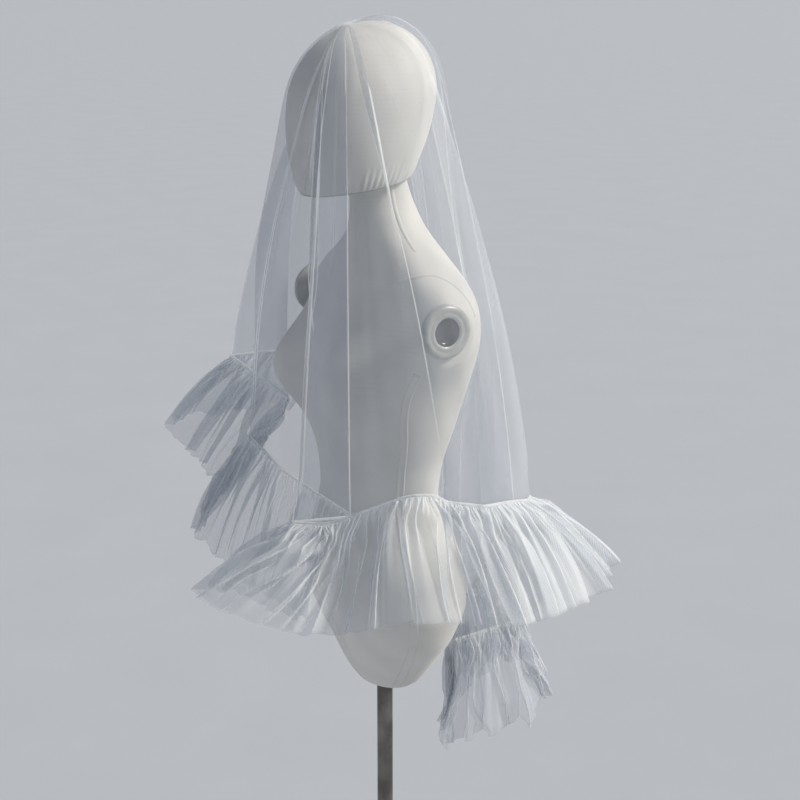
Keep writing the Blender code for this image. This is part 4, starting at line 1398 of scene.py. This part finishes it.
def fullness_scale(bend, want, reach):
    """How much the waves turn so that the cloth's length fits the width."""
    steps = np.linspace(0.0, 2.4, 13)
    means = [blur(np.cos(s * bend), reach) for s in steps]
    scale = np.full(bend.shape, steps[-1])
    for low, high, lower, upper in zip(means, means[1:], steps, steps[1:]):
        here = (low >= want) & (high < want) & (scale == steps[-1])
        share = (low - want) / np.maximum(low - high, 1e-6)
        scale = np.where(here, lower + (upper - lower) * share, scale)
    return blur(scale, 20.0)


def displaced(turned, cloth, span, reach):
    """How far cloth that turns so is moved out of the surface and along it."""
    moves = []
    for step in (np.sin(turned) * cloth, np.cos(turned) * cloth - span):
        move = np.cumsum(step, axis=0)
        move -= np.linspace(0, 1, len(move))[:, None] * move[-1]
        moves.append(move - blur(move, reach * 1.1))
    return moves


def fits(out, allowed, reach):
    """The share of a wave's height that there is room for."""
    size = np.sqrt(blur(out * out, reach * 0.7)) * 1.4 + 1e-6
    return blur(np.clip(allowed / size, 0.08, 1.0), 14.0)


def ruffle_surface(context):
    """Every line of the ruffle, its cover, the rows' shares, and its cloth and place."""
    sizes = context.scene.veil_sizes
    random = np.random.default_rng(sizes.seed)
    table, whole, places = edge_table()
    middle, rooms, opens, coarse_places = ruffle_middle(sizes.ruffle_width)
    at = gather_lines(middle, coarse_places, places, whole)
    here = place_along(at, coarse_places, places)
    count = len(at)
    shares = np.linspace(0.0, 1.0, RUFFLE_ROWS) ** ROW_SPREAD
    room, is_open = refine(rooms, at, shares), refine(opens, at, shares)
    surface = blur(refine(middle, at, shares), 5.0)
    surface = sewn_on(surface, shares, here, table, whole, places)
    tangent, normal, span = surface_directions(surface, shares)

    # The cloth's length is the same in every row; folds take up what the row lacks.
    cloth = sizes.fullness * span[:, 0].mean()
    want = np.clip(span / cloth, 0.30, 0.98)
    reach = count / sizes.flutes * 0.8
    big, mid, fine = flute_turns(random, sizes.flutes, count, cloth, shares)

    # Big flutes shrink where there is little room, and small ones take up their cloth.
    allowed = WAVE_HEIGHT * (VALLEY_SHARE + (1 - VALLEY_SHARE) * is_open)
    allowed = np.minimum(allowed, 0.0035 + 0.33 * np.maximum(room - 0.004, 0.0))
    allowed = np.minimum(allowed, 0.0010 + 0.032 * shares ** 0.85)
    bend = big + mid + fine
    first, _ = displaced(fullness_scale(bend, want, reach) * bend, cloth, span, reach)
    free = fits(first, allowed, reach)
    bend = big * free + mid * (1 + 2.0 * (1 - free)) + fine * (1 + 1.2 * (1 - free))
    turned = fullness_scale(bend, want, reach) * bend
    second, _ = displaced(turned, cloth, span, reach)
    turned *= fits(second / 1.3, allowed, reach)
    out, run = displaced(turned, cloth, span, reach)
    surface = surface + normal * out[..., None] + tangent * run[..., None]
    drop = 0.0016 * slow_noise(count, 3 * sizes.flutes, random)
    surface[..., 2] += drop[:, None] * shares

    # The net is denser where it is creased, bunched, or sewn, and a little at its cut edge, and is painted
    # whiter there as highlight.
    fold = np.abs(np.roll(turned, -1, axis=0) - np.roll(turned, 1, axis=0)) / (2 * cloth)
    crest = np.clip(0.90 + 0.30 * slow_noise(count, 3 * sizes.flutes, random), 0.35, 1.2)
    cover = crest[:, None] * np.clip(fold * CREASE_WIDTH * 0.62, 0.0, 1.0) ** 1.2
    cover = np.maximum(cover, bunched(here % whole, places, whole, 3)[:, None])
    cover = np.maximum(cover, 0.55 * (1 - smoothstep(0.0, 0.05, shares)))
    cover[:, -1] = np.maximum(cover[:, -1], CUT_EDGE_COVER)
    return surface, cover, shares, cloth, at


def build_ruffle(context):
    """The ruffle's stretches, each with the length of its cloth."""
    surface, cover, shares, cloth, at = ruffle_surface(context)
    count = len(surface)
    width = context.scene.veil_sizes.ruffle_width
    share = wall_share(context) * RUFFLE_NET
    net = tulle_material("gathered_nylon_tulle", context.scene.veil_colours, share, RUFFLE_CREST_COVER)
    ends = [FIRST_LINE + n * COARSE / STRETCHES for n in range(STRETCHES)]
    ends = [int(np.searchsorted(at, end)) for end in ends]
    pieces = []
    for n in range(STRETCHES):
        start, end = ends[n], ends[(n + 1) % STRETCHES]
        if end <= start:
            end += count
        pick = np.arange(start, end + 1) % count
        lines = surface[pick].transpose(1, 0, 2)
        flat = np.stack(np.meshgrid(np.arange(len(pick)) * cloth, -shares * width), axis=-1)
        piece = shell(
            f"ruffle_gathers_{n + 1}", lines.reshape(-1, 3), grid(RUFFLE_ROWS, len(pick)),
            CLOTH_SHELL, cover[pick].T.ravel(), flat.reshape(-1, 2),
        )
        piece.data.materials.append(net)
        pieces.append((piece, cloth * (end - start)))
    return pieces


# ---------------------------------------------------------------- the torso's seams
def welt(height, angle, kind):
    """A sewn band on the torso along heights and angles."""
    half_width, section = kind
    path = torso_points(height, angle)
    return strip(path, torso_normals(height, angle), half_width, WELT_HEIGHT, section=section)


def torso_welts():
    """The seams that run down the torso, and one above each arm ring."""
    parts = []
    for first, last, top, bottom, count, kind in LONG_SEAMS:
        height = np.linspace(top, bottom, count)
        parts.append(welt(height, np.radians(np.linspace(first, last, count)), kind))
    first, last, count = ARMHOLE_SWEEP
    turn = np.radians(np.linspace(first, last, count))
    y = ARM_Y + ARMHOLE_HALF_WIDTH * np.sin(turn) + ARMHOLE_BACK
    z = ARM_Z + ARMHOLE_HALF_HEIGHT * np.cos(turn)
    _, front, back = torso_section(z)
    share, across = ARMHOLE_BUST
    depth = np.where(y < 0, front + share * bust(across, z), back)
    angle = np.arcsin(np.clip(y / depth, -0.97, 0.97))
    return parts + [welt(z, angle, WELT), welt(z, math.pi - angle, WELT)]


# ---------------------------------------------------------------- the stage
def studio_air():
    """Cool light from all round, and the wall of the studio that the lens sees behind."""
    world = bpy.data.worlds.new("studio_air")
    world.use_nodes = True
    world.node_tree.nodes.clear()
    around = node(world, "ShaderNodeBackground", Color=linear(AIR_COLOUR), Strength=AIR_STRENGTH)
    wall = node(world, "ShaderNodeBackground", Color=linear(WALL_COLOUR))
    seen = node(world, "ShaderNodeLightPath")
    mix = node(
        world, "ShaderNodeMixShader",
        [("Fac", seen, "Is Camera Ray"), (1, around, "Background"), (2, wall, "Background")],
    )
    node(world, "ShaderNodeOutputWorld", [("Surface", mix, "Shader")])
    return world


def softbox(name, bearing, rise, spread, strength, colour):
    """A wide soft lamp that shines on the form from a bearing."""
    light = bpy.data.lights.new(name, "SUN")
    light.energy, light.angle = strength, math.radians(spread)
    light.color = linear(colour)[:3]
    lamp = bpy.data.objects.new(name, light)
    x, y = plan(bearing, 3.0)
    lamp.location = (x, y, 3.0)
    lamp.rotation_euler = (math.radians(90 - rise), 0, math.atan2(x, -y))
    return lamp


def studio_camera():
    """The camera, with the pole a little beside its axis."""
    camera = bpy.data.cameras.new("camera")
    camera.sensor_width, camera.lens = SENSOR_WIDTH, CAMERA_LENS
    camera.clip_start, camera.clip_end = 0.05, 200.0
    obj = bpy.data.objects.new("camera", camera)
    obj.location = (*plan(CAMERA_BEARING, CAMERA_DISTANCE), CAMERA_HEIGHT)
    yaw = math.atan(CAMERA_SHIFT * math.cos(CAMERA_PITCH))
    obj.rotation_euler = (math.pi / 2 - CAMERA_PITCH, 0, math.radians(CAMERA_BEARING) - yaw)
    return obj


# ---------------------------------------------------------------- operators
class VEIL_OT_head_cover(bpy.types.Operator):
    """Egg-shaped head in stretched jersey, with gathers above its neck seam"""

    bl_idname = "bridal_veil.head_cover"
    bl_label = "Head Cover"

    def execute(self, context):
        rings, sides = HEAD_MESH
        turns = np.linspace(0, 2 * math.pi, sides, endpoint=False)
        bottom = head_bottom(turns)
        lowest = np.arcsin((HEAD_CENTRE_Z - bottom) / HEAD_DOWN)
        gather = np.zeros(sides)
        for centre, depth in NAPE_GATHERS:
            for side_centre in (centre, 180 - centre):
                off = (turns - math.radians(side_centre) + math.pi) % (2 * math.pi) - math.pi
                gather += depth * np.exp(-((off / GATHER_WIDTH) ** 2))
        rim, rim_height, rim_reach = SEAM_BULGE
        rows = []
        for share in np.linspace(0.0, 1.0, rings):
            latitude = -lowest + (lowest + math.radians(89)) * share ** 1.15
            height = HEAD_CENTRE_Z + np.where(latitude > 0, HEAD_UP, HEAD_DOWN) * np.sin(latitude)
            width, depth, middle = head_section(height)
            over = height - bottom
            bulge = GATHER_DEPTH * smoothstep(*GATHER_HEIGHTS, over) * gather
            bulge += rim * np.exp(-(((over - rim_height) / rim_reach) ** 2))
            across, back = (width + bulge) * np.cos(turns), (depth + bulge) * np.sin(turns)
            rows.append(np.stack([across, middle + back, height], axis=1))
        head = mesh_object("head_cover", *closed_tube(np.concatenate(rows), sides))
        turn_outward(head)
        jersey = jersey_material("bleached_cotton_jersey_head", context.scene.veil_colours.cover)
        head.data.materials.append(jersey)
        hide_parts("form_head")
        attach(head, "root")
        return {"FINISHED"}


class VEIL_OT_torso_cover(bpy.types.Operator):
    """Limbless torso in stretched jersey with its welt seams"""

    bl_idname = "bridal_veil.torso_cover"
    bl_label = "Torso Cover"

    def execute(self, context):
        rings, sides = TORSO_MESH
        turns = np.linspace(0, 2 * math.pi, sides, endpoint=False)
        seam = seam_height(torso_points(np.full(sides, SEAM_FRONT_Z), turns)[:, 1]) - SEAM_GAP
        rows = []
        for height in np.linspace(TORSO[0][0], SEAM_FRONT_Z, rings):
            tilt = smoothstep(NECK_FIT_FROM, SEAM_FRONT_Z, height)
            rows.append(torso_points(height + (seam - SEAM_FRONT_Z) * tilt, turns))
        torso = mesh_object("torso_cover", *closed_tube(np.concatenate(rows), sides))
        turn_outward(torso)
        jersey = jersey_material("bleached_cotton_jersey_torso", context.scene.veil_colours.cover)
        torso.data.materials.append(jersey)
        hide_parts("form_torso")
        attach(torso, "root")

        welts = mesh_object("torso_welt_seams", *join(torso_welts()))
        turn_outward(welts)
        welts.data.materials.append(jersey)
        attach(welts, "root")
        return {"FINISHED"}


class VEIL_OT_neck_seam(bpy.types.Operator):
    """Corded seam between the head and the neck"""

    bl_idname = "bridal_veil.neck_seam"
    bl_label = "Neck Seam"

    def execute(self, context):
        turns = np.linspace(0, 2 * math.pi, 160, endpoint=False)
        cos, sin = np.cos(turns), np.sin(turns)
        height = head_bottom(turns)
        width, depth, middle = head_section(height)
        sunk, lowered = NECK_CORD_IN
        path = np.column_stack([(width - sunk) * cos, middle + (depth - sunk) * sin, height - lowered])
        normals = unit(np.column_stack([cos, sin, np.full(len(turns), NECK_CORD_TILT)]))
        half_width, thickness = NECK_CORD
        cord = strip(path, normals, half_width, thickness, closed=True)
        seam = mesh_object("neck_seam_cord", *cord)
        turn_outward(seam)
        # The cord is coloured darker than the jersey, as painted shade in the gap between head and neck.
        seam.data.materials.append(jersey_material("jersey_binding_painted_shade", "B7B2A6"))
        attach(seam, "root")
        return {"FINISHED"}


class VEIL_OT_arm_rings(bpy.types.Operator):
    """Round plastic rings with a glossy recess that close the armholes"""

    bl_idname = "bridal_veil.arm_rings"
    bl_label = "Arm Rings"

    def execute(self, context):
        rim = plastic_material("moulded_polystyrene_rim", "B2B3AE", 0.32)
        # The recess is painted near black as the shade in its hollow.
        recess = plastic_material("dark_recess_painted_shade", "2C3034", 0.14)
        points, faces = lathe([(radius * MM, height * MM) for radius, height in ARM_RING_SECTION], 96)
        back, up, out = points.T
        for name, side in (("left", 1), ("right", -1)):
            placed = np.column_stack([side * (ARM_FACE_X + SEAM_GAP + out), back + ARM_Y, up + ARM_Z])
            ring = mesh_object(f"arm_ring_{name}_moulded", placed, faces)
            turn_outward(ring)
            ring.data.materials.append(rim)
            ring.data.materials.append(recess)
            # Faces deep in the hollow take the near-black plastic: painted shade in the recess.
            for face in ring.data.polygons:
                away = math.hypot(face.center.y - ARM_Y, face.center.z - ARM_Z)
                if away < RECESS_SHADE_RADIUS and abs(face.center.x) > ARM_FACE_X + RECESS_SHADE_FROM:
                    face.material_index = 1
            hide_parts(f"arm_ring_{name}")
            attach(ring, "root")
        return {"FINISHED"}


class VEIL_OT_stand(bpy.types.Operator):
    """Gives the pole and the base plate their plated steel finish"""

    bl_idname = "bridal_veil.stand"
    bl_label = "Stand Finish"

    def execute(self, context):
        for name, colour, roughness in STAND_FINISH:
            metal = steel_material(f"nickel_plated_steel_{name}", colour, roughness)
            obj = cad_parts[name]
            for place in obj.material_slots:
                place.material = metal
            if not obj.material_slots:
                obj.data.materials.append(metal)
        return {"FINISHED"}


class VEIL_OT_panel_cloth(bpy.types.Operator):
    """The oval tulle panel that covers the head and falls in folds"""

    bl_idname = "bridal_veil.panel_cloth"
    bl_label = "Veil Panel"

    def execute(self, context):
        panel = build_panel(context)
        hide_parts("veil_crown", "veil_front", "veil_left", "veil_back", "veil_right")
        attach(panel, "root")
        return {"FINISHED"}


class VEIL_OT_ruffle(bpy.types.Operator):
    """The wide gathered ruffle in its stretches"""

    bl_idname = "bridal_veil.ruffle"
    bl_label = "Gathered Ruffle"

    def execute(self, context):
        for n, (piece, length) in enumerate(build_ruffle(context)):
            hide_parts(f"ruffle_{n + 1}")
            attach(piece, "root")
        return {"FINISHED"}


class VEIL_OT_hem_seam(bpy.types.Operator):
    """The rolled seam that joins the ruffle to the panel"""

    bl_idname = "bridal_veil.hem_seam"
    bl_label = "Hem Seam"

    def execute(self, context):
        table, whole, _ = edge_table()
        at = np.arange(SEAM_POINTS) / SEAM_POINTS * whole
        path = sample(table, at, whole)[:, :3]
        out = sample(unit(blur(outward(table[:, :2]), 0.5 * OUT_SOFT / EDGE_STEP)), at, whole)
        normals = np.column_stack([out, np.zeros(SEAM_POINTS)])
        puckers, depth = SEAM_PUCKERS
        pucker = 1 + depth * slow_noise(SEAM_POINTS, puckers, np.random.default_rng(SEAM_SEED))
        half_height, half_thick = SEAM_TAPE
        tape = strip(path, normals, half_height, half_thick * pucker, closed=True)
        seam = mesh_object("hem_rolled_seam", *tape)
        turn_outward(seam)
        seam.data.materials.append(seam_material())
        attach(seam, "root")
        return {"FINISHED"}


class VEIL_OT_stage(bpy.types.Operator):
    """Pale floor, soft studio light and the camera"""

    bl_idname = "bridal_veil.stage"
    bl_label = "Stage"

    def execute(self, context):
        scene = context.scene
        turns = np.linspace(0, 2 * math.pi, FLOOR_SIDES, endpoint=False)
        rings = [np.stack([r * np.cos(turns), r * np.sin(turns), 0 * turns], axis=1) for r in FLOOR_RADII]
        points = np.concatenate([[(0, 0, 0)], *rings]) + (0, 0, FLOOR_TOP)
        faces = [(0, 1 + i, 1 + (i + 1) % FLOOR_SIDES) for i in range(FLOOR_SIDES)]
        faces += grid(len(FLOOR_RADII), FLOOR_SIDES, closed=True, start=1)
        floor = mesh_object("studio_floor", points, faces)
        floor.data.materials.append(floor_material(scene.veil_colours.floor))

        scene.world = studio_air()
        for row in SOFTBOXES:
            scene.collection.objects.link(softbox(*row))
        scene.camera = studio_camera()
        scene.collection.objects.link(scene.camera)
        scene.view_settings.view_transform = "Standard"
        scene.cycles.transparent_max_bounces = 40
        scene.cycles.max_bounces = 6
        scene.cycles.diffuse_bounces = 3
        return {"FINISHED"}


class VEIL_PT_sidebar(bpy.types.Panel):
    """Lists the veil's operators and sizes"""

    bl_label = "Bridal Veil"
    bl_idname = "VEIL_PT_sidebar"
    bl_space_type = "VIEW_3D"
    bl_region_type = "UI"
    bl_category = "Bridal Veil"

    def draw(self, context):
        for group in (context.scene.veil_sizes, context.scene.veil_colours):
            for key in type(group).__annotations__:
                self.layout.prop(group, key)
        for operator in OPERATORS:
            self.layout.operator(operator.bl_idname)


OPERATORS = (
    VEIL_OT_head_cover,
    VEIL_OT_torso_cover,
    VEIL_OT_neck_seam,
    VEIL_OT_arm_rings,
    VEIL_OT_stand,
    VEIL_OT_panel_cloth,
    VEIL_OT_ruffle,
    VEIL_OT_hem_seam,
    VEIL_OT_stage,
)
CLASSES = (VeilSizes, VeilColours) + OPERATORS + (VEIL_PT_sidebar,)


def register():
    for cls in CLASSES:
        bpy.utils.register_class(cls)
    bpy.types.Scene.veil_sizes = bpy.props.PointerProperty(type=VeilSizes)
    bpy.types.Scene.veil_colours = bpy.props.PointerProperty(type=VeilColours)


def unregister():
    del bpy.types.Scene.veil_colours
    del bpy.types.Scene.veil_sizes
    for cls in reversed(CLASSES):
        bpy.utils.unregister_class(cls)


def main():
    register()
    for operator in OPERATORS:
        group, name = operator.bl_idname.split(".")
        getattr(getattr(bpy.ops, group), name)()


if __name__ == "__main__":
    main()
